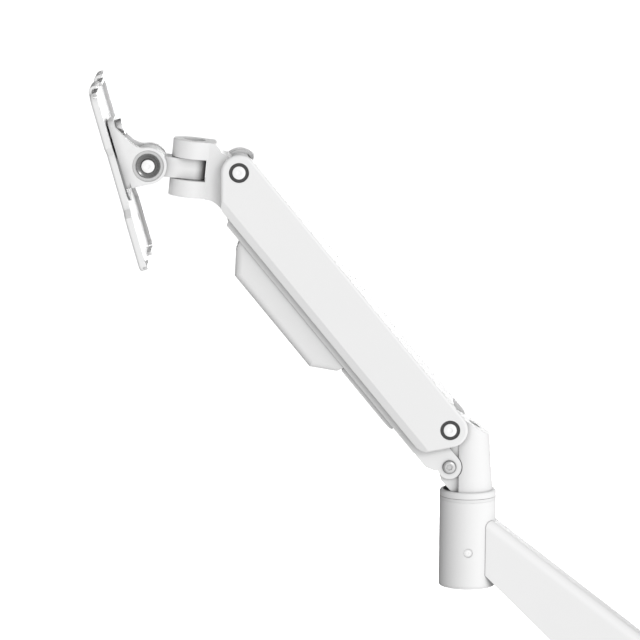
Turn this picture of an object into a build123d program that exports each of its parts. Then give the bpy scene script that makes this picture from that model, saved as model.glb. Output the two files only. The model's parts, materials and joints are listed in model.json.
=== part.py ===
"""Desk monitor arm: clamp base, inclined lower arm, gas-sprung upper arm and tilting head.

Frame: millimetres, +Z up.  The origin is on the desk top, on the axis of the base post.
The arm lies in the XZ plane, runs towards -X and carries its screen on the -X side.
"""
from build123d import *
from math import acos, atan2, cos, hypot, radians, sin, tan
import os

os.makedirs("parts", exist_ok=True)

# ---------------------------------------------------------------- driving sizes
# overall layout
LOWER_REACH = 240.0      # base post axis to elbow axis
ELBOW_TOP = 279.0        # top of the elbow sleeve above the desk
ARM_LENGTH = 235.0       # elbow pivot to head pivot
ARM_RISE = 50.5          # slope of the upper arm, degrees above level
LINK_DROP = 28.0         # each lower-link pivot sits straight below its arm pivot
RUN_GAP = 0.05           # radial clearance of every running fit

# base
PAD_T = 2.0
FOOT_L = 96.0
FOOT_W = 92.0
FOOT_T = 12.0
FOOT_SHIFT = 2.0
FOOT_CORNER = 14.0
FOOT_EDGE = 3.0
POST_R = 15.0
POST_FLANGE_R = 21.0
POST_FLANGE_T = 4.0
THRUST_T = 2.0
HUB_R = 24.0
HUB_H = 90.0
HUB_BORE_R = 18.0
HUB_RECESS_R = 20.5
HUB_RECESS_H = 8.0
BASE_BUSH_H = 18.0
HUB_SCREW_R = 4.0
HUB_SCREW_FLANGE_T = 3.0
POST_SCREW_R = 5.0
CAP_T = 2.5

# desk clamp
BRACKET_T = 5.0
BRACKET_W = 50.0
BRACKET_UNDER = 34.0     # how far the flange reaches under the foot
BRACKET_DEPTH = 85.0     # desk top to the outside of the lower leg
BRACKET_LEG = 70.0
CLAMP_BOSS_R = 9.0
CLAMP_BOSS_H = 11.0
CLAMP_SCREW_R = 5.0
CLAMP_GAP = 30.0         # jaw gap as drawn
CLAMP_PAD_R = 23.0
CLAMP_PAD_T = 8.0
CLAMP_RUBBER_T = 3.0
CLAMP_SCREW_L = 92.0
KNOB_R = 17.0
KNOB_LOBE_R = 5.5
KNOB_LOBES = 6
KNOB_H = 20.0

# lower arm beam
BEAM_W = 32.0
BEAM_WALL = 3.5
BEAM_END_WALL = 7.0
BEAM_EDGE_R = 7.0
BEAM_TOP_SLOPE = 37.8
BEAM_BOTTOM_SLOPE = 44.6
BEAM_TOP_DROP = 16.0     # beam top below the sleeve top, at the sleeve's outer radius
BEAM_BOTTOM_DROP = 60.5  # beam underside below the sleeve top, at the sleeve's outer radius
BEAM_SEAM = 0.15
BEAM_COVER_T = 2.5
BEAM_COVER_GAP = 0.2
BEAM_SCREW_R = 2.5
BEAM_SCREW_HEAD_R = 4.2
BEAM_SCREW_HEAD_H = 4.0

# elbow
SLEEVE_R = 20.0
SLEEVE_H = 61.0
SLEEVE_BORE_R = 14.0
SLEEVE_RECESS_R = 16.5
SLEEVE_RECESS_H = 8.0
SPINDLE_R = 10.0
RING_T = 2.3
UPPER_BUSH_H = 16.0
LOWER_BUSH_H = 12.0
BUSH_FLANGE_T = 2.0
COLLAR_T = 4.6
COLLAR_EDGE = 1.6
END_CAP_T = 1.7
FRICTION_DROP = 36.0     # friction screw below the sleeve top
FRICTION_R = 3.2
KNUCKLE_R = 17.6
KNUCKLE_TAPER = 0.0815   # radius lost per millimetre of height
KNUCKLE_TOP_SLOPE = 33.0
ELBOW_PIVOT_X = -13.8    # elbow pivot from the elbow axis
ELBOW_PIVOT_H = 53.1     # elbow pivot above the sleeve top
TONGUE_HALF = 12.2
YOKE_SLOT_HALF = 8.2
BOSS_HALF = 18.6
BOSS_R = 8.5
TOP_POINT_X = -4.0       # left end of the sloping knuckle top, from the elbow axis
TOP_POINT_H = 58.9
ADJUST_X = 3.9           # adjuster axis where it meets the sloping top
ADJUST_DEPTH = 22.0      # sloping top to the spring anchor
ADJUST_R = 3.0
ADJUST_HEAD_R = 4.2
ANCHOR_PIN_R = 3.0
ANCHOR_HALF = 4.1

# upper arm channel, in its own axes: t from head pivot to elbow pivot, n square to it
CHANNEL_W = 48.0
CHANNEL_WALL = 3.0
EAR_R = 12.5
EAR_HALF_IN = 19.0
CHANNEL_LOW = -26.6
BEVEL_START = -21.2
BEVEL_IN = 2.5
TOP_CUT = 11.0           # top wall stops this far short of the elbow pivot
CHANNEL_EDGE = 2.0
BUSH_R = 7.0
PIVOT_R = 4.0
PIVOT_THREAD_R = 3.0
PIVOT_HEAD_R = 4.6
BUSH_RECESS = 1.4
SPRING_T = 34.0          # spring pin along the arm from the head pivot
SPRING_N = -2.0
SPRING_PIN_R = 3.5

# lower link
LINK_W = 30.0
LINK_WALL = 2.5
LINK_LUG_R = 8.7
LINK_LOW = -13.2
LINK_BUSH_R = 5.0
LINK_PIN_R = 3.0
LINK_THREAD_R = 2.5
LINK_HEAD_R = 4.3
LINK_SOCKET_R = 2.8
LINK_HEAD_T = 1.4
COVER_W = 28.0
COVER_WALL = 2.0
COVER_START = 17.0
COVER_END = 132.9
COVER_DEPTH = 18.5
STRIP_W = 22.0
STRIP_T = 3.0
STRIP_START = 133.5
STRIP_END = 190.5

# gas spring
CYLINDER_R = 9.0
CYLINDER_L = 124.0
ROD_R = 4.0
FORK_IN = 4.3
FORK_T = 3.5
EYE_R = 9.4
LIFT_TRAVEL = 78.0       # degrees from fully raised to fully lowered

# head
PAN_LEAN = 5.4           # the pan axis leans this much towards the arm
PAN_X = -33.3            # pan centre from the head pivot
PAN_Z = 0.4
PAN_EAR_R = 15.0
PAN_TOP = 20.1
PAN_LOW = 19.6
PAN_SLOT = 15.3
PAN_SLOT_BACK = 10.0
PAN_PIN_R = 4.0
PAN_RECESS_R = 7.5
PAN_RECESS_H = 7.0
PAN_HEAD_H = 2.6
PAN_SHOULDER = -18.5      # where the top of the ear starts to fall to the neck, from the head pivot
NECK_HALF = 12.2
ROOF_GAP = 0.5           # channel roof to the barrels that turn under it
BARREL_R = EAR_R - CHANNEL_WALL - ROOF_GAP
YOKE_LUG_R = 8.8         # lower lug of the yoke, round the link's screws
PAN_FLOOR = 3.0          # metal left under the blind end of the pan pin
PAN_HEX = 2.5
TILT_HEX = 2.0
DISH_R = 8.6
DISH_T = 1.0
TILT_HEAD_T = 1.8
TILT_OUT = 30.5          # tilt axis from pan axis
BLOCK_HALF_W = 9.5
BLOCK_HALF_H = 7.1
TILT_BOSS_R = 12.5
TILT_BOLT_R = 3.0
CHEEK_IN = 10.5
CHEEK_OUT = 16.0
CHEEK_R = 13.0
CHEEK_RECESS_R = 11.0
CHEEK_RECESS = 1.2

# screen plate, in its own axes: a towards the screen, b up along the plate
PLATE_LEAN = 16.2
PLATE_FRONT = 22.8
PLATE_T = 2.5
PLATE_DEPTH = 5.1
PLATE_HALF_W = 57.0
PLATE_WAIST = 50.0
PLATE_TOP = 62.5
PLATE_BOTTOM = -65.5
PLATE_CENTRE = -1.5
PLATE_CORNER = 7.0
WAIST_HALF = 20.0
WAIST_RAMP = 5.0
HOOK_IN = 20.0
HOOK_OUT = 50.0
HOOK_RISE = 5.0
HOOK_R = 4.4             # outside of the hook's roll
HOOK_T = 1.9
HOOK_CURL = 125.0        # the roll's turn, in degrees
HOOK_ROOT = 1.6
BASE_T = 4.0
BASE_TOP = 37.4
BASE_BOTTOM = -12.0
WASHER_T = 1.3
WASHER_R = 20.0
TURN_R = 9.0
TURN_HEAD_R = 11.0
TURN_HEAD_T = 0.9
LOCK_B = 30.0
LOCK_HEAD_R = 6.0
LOCK_HEAD_H = 5.0
LOCK_R = 3.0
VESA_LARGE = 100.0
VESA_SMALL = 75.0
VESA_HOLE_R = 2.5

# ---------------------------------------------------------------- derived places
FOOT_TOP = PAD_T + FOOT_T
HUB_LOW = FOOT_TOP + POST_FLANGE_T + THRUST_T
HUB_TOP = HUB_LOW + HUB_H
POST_TOP = HUB_TOP - HUB_RECESS_H + 0.2
FOOT_REAR = FOOT_SHIFT + FOOT_L / 2
BRACKET_FACE = FOOT_REAR + 0.3

ELBOW_X = -LOWER_REACH
SLEEVE_LOW = ELBOW_TOP - SLEEVE_H
RING_TOP = ELBOW_TOP + RING_T
KNUCKLE_LOW = RING_TOP + 0.2

A1 = Vector(ELBOW_X + ELBOW_PIVOT_X, 0, ELBOW_TOP + ELBOW_PIVOT_H)
ARM_DIR = Vector(cos(radians(ARM_RISE)), 0, -sin(radians(ARM_RISE)))
ARM_UP = Vector(sin(radians(ARM_RISE)), 0, cos(radians(ARM_RISE)))
A2 = A1 - ARM_DIR * ARM_LENGTH
B1 = A1 - Vector(0, 0, LINK_DROP)
B2 = A2 - Vector(0, 0, LINK_DROP)

TOP_NORMAL = Vector(sin(radians(KNUCKLE_TOP_SLOPE)), 0, cos(radians(KNUCKLE_TOP_SLOPE)))
ADJUST_TOP = Vector(
    ELBOW_X + ADJUST_X,
    0,
    ELBOW_TOP + TOP_POINT_H - (ADJUST_X - TOP_POINT_X) * tan(radians(KNUCKLE_TOP_SLOPE)),
)
C1 = ADJUST_TOP - TOP_NORMAL * ADJUST_DEPTH
C2 = A2 + ARM_DIR * SPRING_T + ARM_UP * SPRING_N

PAN = A2 + Vector(PAN_X, 0, PAN_Z)
PAN_AXIS = Vector(sin(radians(PAN_LEAN)), 0, cos(radians(PAN_LEAN)))
PAN_BACK = Vector(cos(radians(PAN_LEAN)), 0, -sin(radians(PAN_LEAN)))
TILT = PAN - PAN_BACK * TILT_OUT
PLATE_OUT = Vector(-cos(radians(PLATE_LEAN)), 0, -sin(radians(PLATE_LEAN)))
PLATE_UP = Vector(-sin(radians(PLATE_LEAN)), 0, cos(radians(PLATE_LEAN)))

# The spring's free end swings on an arc about the elbow pivot while its two couplings
# give it a straight path, so the eye is drawn half the arc's rise off its pin.
ANCHOR_ARM = C1 - A1
ANCHOR_LEVER = ANCHOR_ARM.length
ANCHOR_START = atan2(ANCHOR_ARM.dot(ARM_UP), ANCHOR_ARM.dot(ARM_DIR))
ARC_RISE = ANCHOR_LEVER * (1 - cos(radians(LIFT_TRAVEL / 2)))
ARC_MID = ANCHOR_START - radians(LIFT_TRAVEL / 2)
EYE = C1 + (ARM_DIR * cos(ARC_MID) + ARM_UP * sin(ARC_MID)) * (ARC_RISE / 2)
EYE_HOLE_R = ANCHOR_PIN_R + ARC_RISE / 2 + 0.6
SPRING_DIR = (EYE - C2).normalized()
SPRING_L = (EYE - C2).length

# ---------------------------------------------------------------- working planes
ARM_PLANE = Plane(origin=A2, x_dir=ARM_DIR, z_dir=(0, -1, 0))
LINK_PLANE = Plane(origin=B2, x_dir=ARM_DIR, z_dir=(0, -1, 0))
ELBOW_PLANE = Plane(origin=(ELBOW_X, 0, ELBOW_TOP), x_dir=(1, 0, 0), z_dir=(0, -1, 0))
HEAD_PLANE = Plane(origin=A2, x_dir=(1, 0, 0), z_dir=(0, -1, 0))
SPRING_PLANE = Plane(origin=C2, x_dir=SPRING_DIR, z_dir=(0, -1, 0))
SPRING_END = Plane(origin=C2, x_dir=(0, 1, 0), z_dir=SPRING_DIR)
PAN_PLANE = Plane(origin=PAN, x_dir=PAN_BACK, z_dir=PAN_AXIS)
TILT_PLANE = Plane(origin=TILT, x_dir=PLATE_OUT, z_dir=(0, 1, 0))
PLATE_PLANE = Plane(origin=TILT, x_dir=(0, -1, 0), z_dir=PLATE_OUT)
ADJUST_PLANE = Plane(origin=ADJUST_TOP, x_dir=(0, 1, 0), z_dir=TOP_NORMAL)
ELBOW_AXIS = Axis((ELBOW_X, 0, 0), (0, 0, 1))
SIDES = (-1, 1)


def out_of(plane, side, reach):
    """The side-view plane moved to y = side * reach."""
    return Plane(origin=plane.origin + Vector(0, side * reach, 0), x_dir=plane.x_dir, z_dir=(0, side, 0))


def place(plane, point):
    """A point's two coordinates in a plane."""
    local = plane.to_local_coords(point)
    return (local.X, local.Y)


def finish_part(builder, name):
    """Label a finished piece and write it."""
    builder.part.label = name
    export_step(builder.part, f"parts/{name}.step")


def side_discs(centre, radius, low, high):
    """A pair of discs on a cross axis, one on each side, from y = low out to y = high."""
    for side in SIDES:
        flat = out_of(HEAD_PLANE, side, low)
        with BuildSketch(flat) as disc:
            with Locations(place(flat, centre)):
                Circle(radius)
        extrude(disc.sketch, amount=high - low)


def side_cuts(centre, radius, low, high):
    """The matching pair of round cuts."""
    for side in SIDES:
        flat = out_of(HEAD_PLANE, side, low)
        with BuildSketch(flat) as disc:
            with Locations(place(flat, centre)):
                Circle(radius)
        extrude(disc.sketch, amount=high - low, mode=Mode.SUBTRACT)


def cross_cut(centre, radius, half):
    """A round cut right across the middle plane."""
    with BuildSketch(Plane.XZ) as bore:
        with Locations((centre.X, centre.Z)):
            Circle(radius)
    extrude(bore.sketch, amount=half, both=True, mode=Mode.SUBTRACT)


def ring(z, outer, inner, height):
    """A ring standing at height z in the current part, on the current locations."""
    with BuildSketch(Plane.XY.offset(z)) as face:
        Circle(outer)
        Circle(inner, mode=Mode.SUBTRACT)
    extrude(face.sketch, amount=height)


# ================================================================ base
bracket_hole_x = (FOOT_REAR - BRACKET_UNDER + 8.0, FOOT_REAR - 8.0)
bracket_hole_y = 17.0
bracket_holes = [(x, s * bracket_hole_y) for x in bracket_hole_x for s in SIDES]

with BuildPart() as base_foot:
    with BuildSketch(Plane.XY.offset(PAD_T)):
        with Locations((FOOT_SHIFT, 0)):
            RectangleRounded(FOOT_L, FOOT_W, FOOT_CORNER)
    extrude(amount=FOOT_T)
    fillet(base_foot.faces().sort_by(Axis.Z)[-1].edges(), FOOT_EDGE)
    with BuildSketch(Plane.XY.offset(PAD_T)):
        with Locations((FOOT_REAR - BRACKET_UNDER / 2, 0)):
            Rectangle(BRACKET_UNDER + 0.4, BRACKET_W + 0.4)
    extrude(amount=BRACKET_T, mode=Mode.SUBTRACT)
    with BuildSketch(Plane.XY.offset(PAD_T)):
        Circle(POST_SCREW_R + 0.5)
        with Locations(*bracket_holes):
            Circle(2.5)
    extrude(amount=FOOT_T - 1.5, mode=Mode.SUBTRACT)
    with BuildSketch(Plane.XY.offset(PAD_T)):
        Circle(POST_SCREW_R + 0.5)
    extrude(amount=FOOT_T, mode=Mode.SUBTRACT)
    with BuildSketch(Plane.XY.offset(PAD_T)):
        Circle(9.5)
    extrude(amount=6.0, mode=Mode.SUBTRACT)
finish_part(base_foot, "base_foot")

with BuildPart() as base_pad:
    with BuildSketch():
        with Locations((FOOT_SHIFT, 0)):
            RectangleRounded(FOOT_L - 3, FOOT_W - 3, FOOT_CORNER - 1.5)
    extrude(amount=PAD_T)
finish_part(base_pad, "base_pad")

with BuildPart() as base_post:
    with BuildSketch(Plane.XY.offset(FOOT_TOP)):
        Circle(POST_FLANGE_R)
    extrude(amount=POST_FLANGE_T)
    with BuildSketch(Plane.XY.offset(FOOT_TOP)):
        Circle(POST_R)
    extrude(amount=POST_TOP - FOOT_TOP)
    chamfer(base_post.faces().sort_by(Axis.Z)[-1].edges(), 1)
    with BuildSketch(Plane.XY.offset(FOOT_TOP)):
        Circle(POST_SCREW_R)
    extrude(amount=26, mode=Mode.SUBTRACT)
    with BuildSketch(Plane.XY.offset(POST_TOP)):
        Circle(HUB_SCREW_R)
    extrude(amount=-22, mode=Mode.SUBTRACT)
finish_part(base_post, "base_post")

with BuildPart() as post_screw:
    with BuildSketch(Plane.XY.offset(PAD_T + 0.5)):
        Circle(9.0)
    extrude(amount=5.5)
    with BuildSketch(Plane.XY.offset(PAD_T + 6.0)):
        Circle(POST_SCREW_R)
    extrude(amount=FOOT_T - 6.0 + 24)
    with BuildSketch(Plane.XY.offset(PAD_T + 0.5)):
        RegularPolygon(4.0, 6, major_radius=False)
    extrude(amount=4, mode=Mode.SUBTRACT)
finish_part(post_screw, "post_screw")

with BuildPart() as clamp_bracket:
    rear = BRACKET_FACE + BRACKET_T
    with BuildSketch(Plane.XZ):
        with BuildLine():
            Polyline(
                (FOOT_REAR - BRACKET_UNDER, PAD_T),
                (BRACKET_FACE, PAD_T),
                (BRACKET_FACE, -BRACKET_DEPTH + BRACKET_T),
                (rear - BRACKET_LEG, -BRACKET_DEPTH + BRACKET_T),
                (rear - BRACKET_LEG, -BRACKET_DEPTH),
                (rear, -BRACKET_DEPTH),
                (rear, PAD_T + BRACKET_T),
                (FOOT_REAR - BRACKET_UNDER, PAD_T + BRACKET_T),
                close=True,
            )
        make_face()
        corners = [(rear, PAD_T + BRACKET_T), (rear, -BRACKET_DEPTH)]
        outer = [min(vertices(), key=lambda v: hypot(v.X - x, v.Y - z)) for x, z in corners]
        fillet(outer, BRACKET_T + 1.5)
        inner_corner = min(
            vertices(), key=lambda v: hypot(v.X - BRACKET_FACE, v.Y + BRACKET_DEPTH - BRACKET_T)
        )
        fillet(inner_corner, 2.0)
    extrude(amount=BRACKET_W / 2, both=True)
    tips = clamp_bracket.edges().filter_by(Axis.Z).group_by(Axis.X)[0]
    fillet(tips, 10)
    with BuildSketch(Plane.XY.offset(-BRACKET_DEPTH)):
        Circle(CLAMP_BOSS_R)
    extrude(amount=-(CLAMP_BOSS_H - BRACKET_T))
    with BuildSketch(Plane.XY.offset(-BRACKET_DEPTH + BRACKET_T)):
        Circle(CLAMP_SCREW_R + RUN_GAP)
    extrude(amount=-2 * CLAMP_BOSS_H, mode=Mode.SUBTRACT)
    with BuildSketch(Plane.XY.offset(PAD_T)):
        with Locations(*bracket_holes):
            Circle(2.75)
    extrude(amount=BRACKET_T, mode=Mode.SUBTRACT)
    with BuildSketch(Plane.XY.offset(PAD_T)):
        with Locations(*bracket_holes):
            Circle(5.2)
    extrude(amount=2.8, taper=41, mode=Mode.SUBTRACT)
finish_part(clamp_bracket, "clamp_bracket")

with BuildPart() as bracket_screws:
    with BuildSketch(Plane.XY.offset(PAD_T)):
        with Locations(*bracket_holes):
            Circle(5.0)
    extrude(amount=2.7, taper=41)
    with BuildSketch(Plane.XY.offset(PAD_T)):
        with Locations(*bracket_holes):
            Circle(2.5)
    extrude(amount=FOOT_T - 2.5)
    with BuildSketch(Plane.XY.offset(PAD_T)):
        with Locations(*bracket_holes):
            RegularPolygon(1.5, 6, major_radius=False)
    extrude(amount=1.8, mode=Mode.SUBTRACT)
finish_part(bracket_screws, "bracket_screws")

with BuildPart() as base_washer:
    ring(FOOT_TOP + POST_FLANGE_T, HUB_R - 1.5, POST_R + 0.3, THRUST_T)
finish_part(base_washer, "base_washer")

with BuildPart() as hub_screw:
    with BuildSketch(Plane.XY.offset(POST_TOP)):
        Circle(HUB_RECESS_R - 1)
    extrude(amount=HUB_SCREW_FLANGE_T)
    chamfer(hub_screw.faces().sort_by(Axis.Z)[-1].edges(), 0.8)
    with BuildSketch(Plane.XY.offset(POST_TOP)):
        Circle(HUB_SCREW_R)
    extrude(amount=-20)
    with BuildSketch(Plane.XY.offset(POST_TOP + HUB_SCREW_FLANGE_T)):
        RegularPolygon(2.5, 6, major_radius=False)
    extrude(amount=-5, mode=Mode.SUBTRACT)
finish_part(hub_screw, "hub_screw")

# ================================================================ clamp screw
pad_top = -CLAMP_GAP
disc_top = pad_top - CLAMP_RUBBER_T
disc_low = disc_top - CLAMP_PAD_T
screw_top = disc_low + 6.0
knob_top = screw_top - CLAMP_SCREW_L + 12.0

with BuildPart() as clamp_pad_rubber:
    with BuildSketch(Plane.XY.offset(disc_top)):
        Circle(CLAMP_PAD_R)
    extrude(amount=CLAMP_RUBBER_T)
    chamfer(clamp_pad_rubber.faces().sort_by(Axis.Z)[-1].edges(), 0.8)
finish_part(clamp_pad_rubber, "clamp_pad_rubber")

with BuildPart() as clamp_pad:
    with BuildSketch(Plane.XY.offset(disc_low)):
        Circle(CLAMP_SCREW_R + 5)
    extrude(amount=CLAMP_PAD_T)
    with BuildSketch(Plane.XY.offset(disc_top - 3)):
        Circle(CLAMP_PAD_R + 0.5)
    extrude(amount=3)
    with BuildSketch(Plane.XY.offset(disc_low)):
        Circle(CLAMP_SCREW_R + RUN_GAP)
    extrude(amount=6.1, mode=Mode.SUBTRACT)
finish_part(clamp_pad, "clamp_pad")

with BuildPart() as clamp_screw:
    with BuildSketch(Plane.XY.offset(screw_top - CLAMP_SCREW_L)):
        Circle(CLAMP_SCREW_R)
    extrude(amount=CLAMP_SCREW_L)
    chamfer(clamp_screw.faces().sort_by(Axis.Z)[-1].edges(), 1)
finish_part(clamp_screw, "clamp_screw")

with BuildPart() as clamp_knob:
    with BuildSketch(Plane.XY.offset(knob_top)):
        Circle(KNOB_R)
        with PolarLocations(KNOB_R, KNOB_LOBES):
            Circle(KNOB_LOBE_R)
    extrude(amount=-KNOB_H)
    fillet(clamp_knob.faces().sort_by(Axis.Z)[0].edges(), 2)
    fillet(clamp_knob.faces().sort_by(Axis.Z)[-1].edges(), 2)
    with BuildSketch(Plane.XY.offset(knob_top)):
        Circle(CLAMP_SCREW_R)
    extrude(amount=-12, mode=Mode.SUBTRACT)
finish_part(clamp_knob, "clamp_knob")

# ================================================================ lower arm
with BuildPart() as base_hub:
    with BuildSketch(Plane.XY.offset(HUB_LOW)):
        Circle(HUB_R)
        Circle(HUB_BORE_R, mode=Mode.SUBTRACT)
    extrude(amount=HUB_H)
    with BuildSketch(Plane.XY.offset(HUB_TOP)):
        Circle(HUB_RECESS_R)
    extrude(amount=-HUB_RECESS_H, mode=Mode.SUBTRACT)
    hub_screw_heights = (HUB_LOW + 26.0, HUB_LOW + 62.0)
    with BuildSketch(Plane.YZ.offset(-HUB_BORE_R / 2)):
        with Locations(*[(0, z) for z in hub_screw_heights]):
            Circle(BEAM_SCREW_R)
    extrude(amount=-HUB_R, mode=Mode.SUBTRACT)
finish_part(base_hub, "base_hub")

with BuildPart() as base_bushes:
    ring(HUB_LOW, HUB_BORE_R, POST_R + RUN_GAP, BASE_BUSH_H)
    ring(HUB_TOP - HUB_RECESS_H - BASE_BUSH_H, HUB_BORE_R, POST_R + RUN_GAP, BASE_BUSH_H)
finish_part(base_bushes, "base_bushes")

with BuildPart() as hub_cap:
    with BuildSketch(Plane.XY.offset(HUB_TOP)):
        Circle(HUB_R)
    extrude(amount=CAP_T)
    fillet(hub_cap.faces().sort_by(Axis.Z)[-1].edges(), CAP_T - 0.5)
    ring(HUB_TOP - 2.5, HUB_RECESS_R, HUB_RECESS_R - 2, 2.5)
finish_part(hub_cap, "hub_cap")


def beam_top(x):
    """Height of the beam's top face at a distance x from the elbow axis."""
    return ELBOW_TOP - BEAM_TOP_DROP - (x - SLEEVE_R) * tan(radians(BEAM_TOP_SLOPE))


def beam_bottom(x):
    """Height of the beam's lower edge at a distance x from the elbow axis."""
    return ELBOW_TOP - BEAM_BOTTOM_DROP - (x - SLEEVE_R) * tan(radians(BEAM_BOTTOM_SLOPE))


def from_elbow(x):
    """The row's X at a distance x from the elbow axis."""
    return ELBOW_X + x


cavity_start = SLEEVE_R + BEAM_END_WALL
cavity_end = LOWER_REACH - HUB_R - BEAM_END_WALL
roof_drop = BEAM_WALL / cos(radians(BEAM_TOP_SLOPE))
sleeve_screw_heights = (SLEEVE_LOW + 12.0, SLEEVE_LOW + 25.5)

with BuildPart() as lower_arm_beam:
    with BuildSketch(Plane.XZ):
        with BuildLine():
            Polyline(
                (from_elbow(0), beam_top(0)),
                (from_elbow(LOWER_REACH), beam_top(LOWER_REACH)),
                (from_elbow(LOWER_REACH), beam_bottom(LOWER_REACH)),
                (from_elbow(0), beam_bottom(0)),
                close=True,
            )
        make_face()
    extrude(amount=BEAM_W / 2, both=True)
    long_top = lower_arm_beam.faces().sort_by(Axis((0, 0, 0), tuple(TOP_NORMAL)))[-1].edges()
    fillet(long_top.filter_by(GeomType.LINE).sort_by(SortBy.LENGTH)[-2:], BEAM_EDGE_R)
    with BuildSketch(Plane.XZ):
        with BuildLine():
            Polyline(
                (from_elbow(cavity_start), beam_top(cavity_start) - roof_drop),
                (from_elbow(cavity_end), beam_top(cavity_end) - roof_drop),
                (from_elbow(cavity_end), beam_bottom(cavity_end) - 5),
                (from_elbow(cavity_start), beam_bottom(cavity_start) - 5),
                close=True,
            )
        make_face()
    extrude(amount=BEAM_W / 2 - BEAM_WALL, both=True, mode=Mode.SUBTRACT)
    with BuildSketch(Plane.XY):
        with Locations((ELBOW_X, 0)):
            Circle(SLEEVE_R + BEAM_SEAM)
    extrude(amount=2 * ELBOW_TOP, mode=Mode.SUBTRACT)
    with BuildSketch(Plane.XY):
        Circle(HUB_R + BEAM_SEAM)
    extrude(amount=2 * ELBOW_TOP, mode=Mode.SUBTRACT)
    stub = lower_arm_beam.solids().sort_by(SortBy.VOLUME)[:-1]
    if stub:
        add(stub, mode=Mode.SUBTRACT)
    for x, heights in ((from_elbow(SLEEVE_R), sleeve_screw_heights), (-HUB_R, hub_screw_heights)):
        with BuildSketch(Plane.YZ.offset(x)):
            with Locations(*[(0, z) for z in heights]):
                Circle(BEAM_SCREW_R + 0.25)
        extrude(amount=BEAM_END_WALL + 1, both=True, mode=Mode.SUBTRACT)
finish_part(lower_arm_beam, "lower_arm_beam")

with BuildPart() as beam_screws:
    for x, heights, out in (
        (from_elbow(SLEEVE_R + BEAM_END_WALL), sleeve_screw_heights, 1),
        (-HUB_R - BEAM_END_WALL, hub_screw_heights, -1),
    ):
        with BuildSketch(Plane.YZ.offset(x)):
            with Locations(*[(0, z) for z in heights]):
                Circle(BEAM_SCREW_HEAD_R)
        extrude(amount=out * BEAM_SCREW_HEAD_H)
        with BuildSketch(Plane.YZ.offset(x)):
            with Locations(*[(0, z) for z in heights]):
                Circle(BEAM_SCREW_R)
        extrude(amount=-out * (BEAM_END_WALL + 5.6))
        with BuildSketch(Plane.YZ.offset(x + out * BEAM_SCREW_HEAD_H)):
            with Locations(*[(0, z) for z in heights]):
                RegularPolygon(2.0, 6, major_radius=False)
        extrude(amount=-out * 2.5, mode=Mode.SUBTRACT)
finish_part(beam_screws, "beam_screws")

cover_from = cavity_start + 22.0
cover_to = cavity_end - 26.0
cover_up = BEAM_COVER_T / cos(radians(BEAM_BOTTOM_SLOPE))
with BuildPart() as lower_arm_cover:
    with BuildSketch(Plane.XZ):
        with BuildLine():
            Polyline(
                (from_elbow(cover_from), beam_bottom(cover_from) + 0.4),
                (from_elbow(cover_to), beam_bottom(cover_to) + 0.4),
                (from_elbow(cover_to), beam_bottom(cover_to) + 0.4 + cover_up),
                (from_elbow(cover_from), beam_bottom(cover_from) + 0.4 + cover_up),
                close=True,
            )
        make_face()
    extrude(amount=BEAM_W / 2 - BEAM_WALL - BEAM_COVER_GAP, both=True)
    clip_x = [cover_from + (cover_to - cover_from) * k for k in (0.15, 0.5, 0.85)]
    for x in clip_x:
        for side in SIDES:
            clip_y = side * (BEAM_W / 2 - BEAM_WALL - BEAM_COVER_GAP - 0.9)
            with BuildSketch(Plane.XY.offset(beam_bottom(x) + 1.5)):
                with Locations((from_elbow(x), clip_y)):
                    Rectangle(8, 1.8)
            extrude(amount=10)
finish_part(lower_arm_cover, "lower_arm_cover")

# ================================================================ elbow sleeve
with BuildPart() as elbow_sleeve:
    with BuildSketch(Plane.XY.offset(SLEEVE_LOW)):
        with Locations((ELBOW_X, 0)):
            Circle(SLEEVE_R)
            Circle(SLEEVE_BORE_R, mode=Mode.SUBTRACT)
    extrude(amount=SLEEVE_H)
    with BuildSketch(Plane.XY.offset(SLEEVE_LOW)):
        with Locations((ELBOW_X, 0)):
            Circle(SLEEVE_RECESS_R)
    extrude(amount=SLEEVE_RECESS_H, mode=Mode.SUBTRACT)
    with BuildSketch(Plane.XZ):
        with Locations((ELBOW_X, ELBOW_TOP - FRICTION_DROP)):
            Circle(FRICTION_R)
    extrude(amount=SLEEVE_R + 1, mode=Mode.SUBTRACT)
    with BuildSketch(Plane.YZ.offset(from_elbow(SLEEVE_BORE_R / 2))):
        with Locations(*[(0, z) for z in sleeve_screw_heights]):
            Circle(BEAM_SCREW_R)
    extrude(amount=SLEEVE_R, mode=Mode.SUBTRACT)
finish_part(elbow_sleeve, "elbow_sleeve")

with BuildPart() as elbow_upper_bush:
    with BuildSketch(Plane.XY.offset(ELBOW_TOP)):
        with Locations((ELBOW_X, 0)):
            Circle(SLEEVE_R)
            Circle(SPINDLE_R + RUN_GAP, mode=Mode.SUBTRACT)
    extrude(amount=RING_T)
    with BuildSketch(Plane.XY.offset(ELBOW_TOP - UPPER_BUSH_H)):
        with Locations((ELBOW_X, 0)):
            Circle(SLEEVE_BORE_R)
            Circle(SPINDLE_R + RUN_GAP, mode=Mode.SUBTRACT)
    extrude(amount=UPPER_BUSH_H)
finish_part(elbow_upper_bush, "elbow_upper_bush")

recess_top = SLEEVE_LOW + SLEEVE_RECESS_H
with BuildPart() as elbow_lower_bush:
    with BuildSketch(Plane.XY.offset(recess_top - BUSH_FLANGE_T)):
        with Locations((ELBOW_X, 0)):
            Circle(SLEEVE_RECESS_R)
            Circle(SPINDLE_R + RUN_GAP, mode=Mode.SUBTRACT)
    extrude(amount=BUSH_FLANGE_T)
    with BuildSketch(Plane.XY.offset(recess_top)):
        with Locations((ELBOW_X, 0)):
            Circle(SLEEVE_BORE_R)
            Circle(SPINDLE_R + RUN_GAP, mode=Mode.SUBTRACT)
    extrude(amount=LOWER_BUSH_H)
finish_part(elbow_lower_bush, "elbow_lower_bush")

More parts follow.
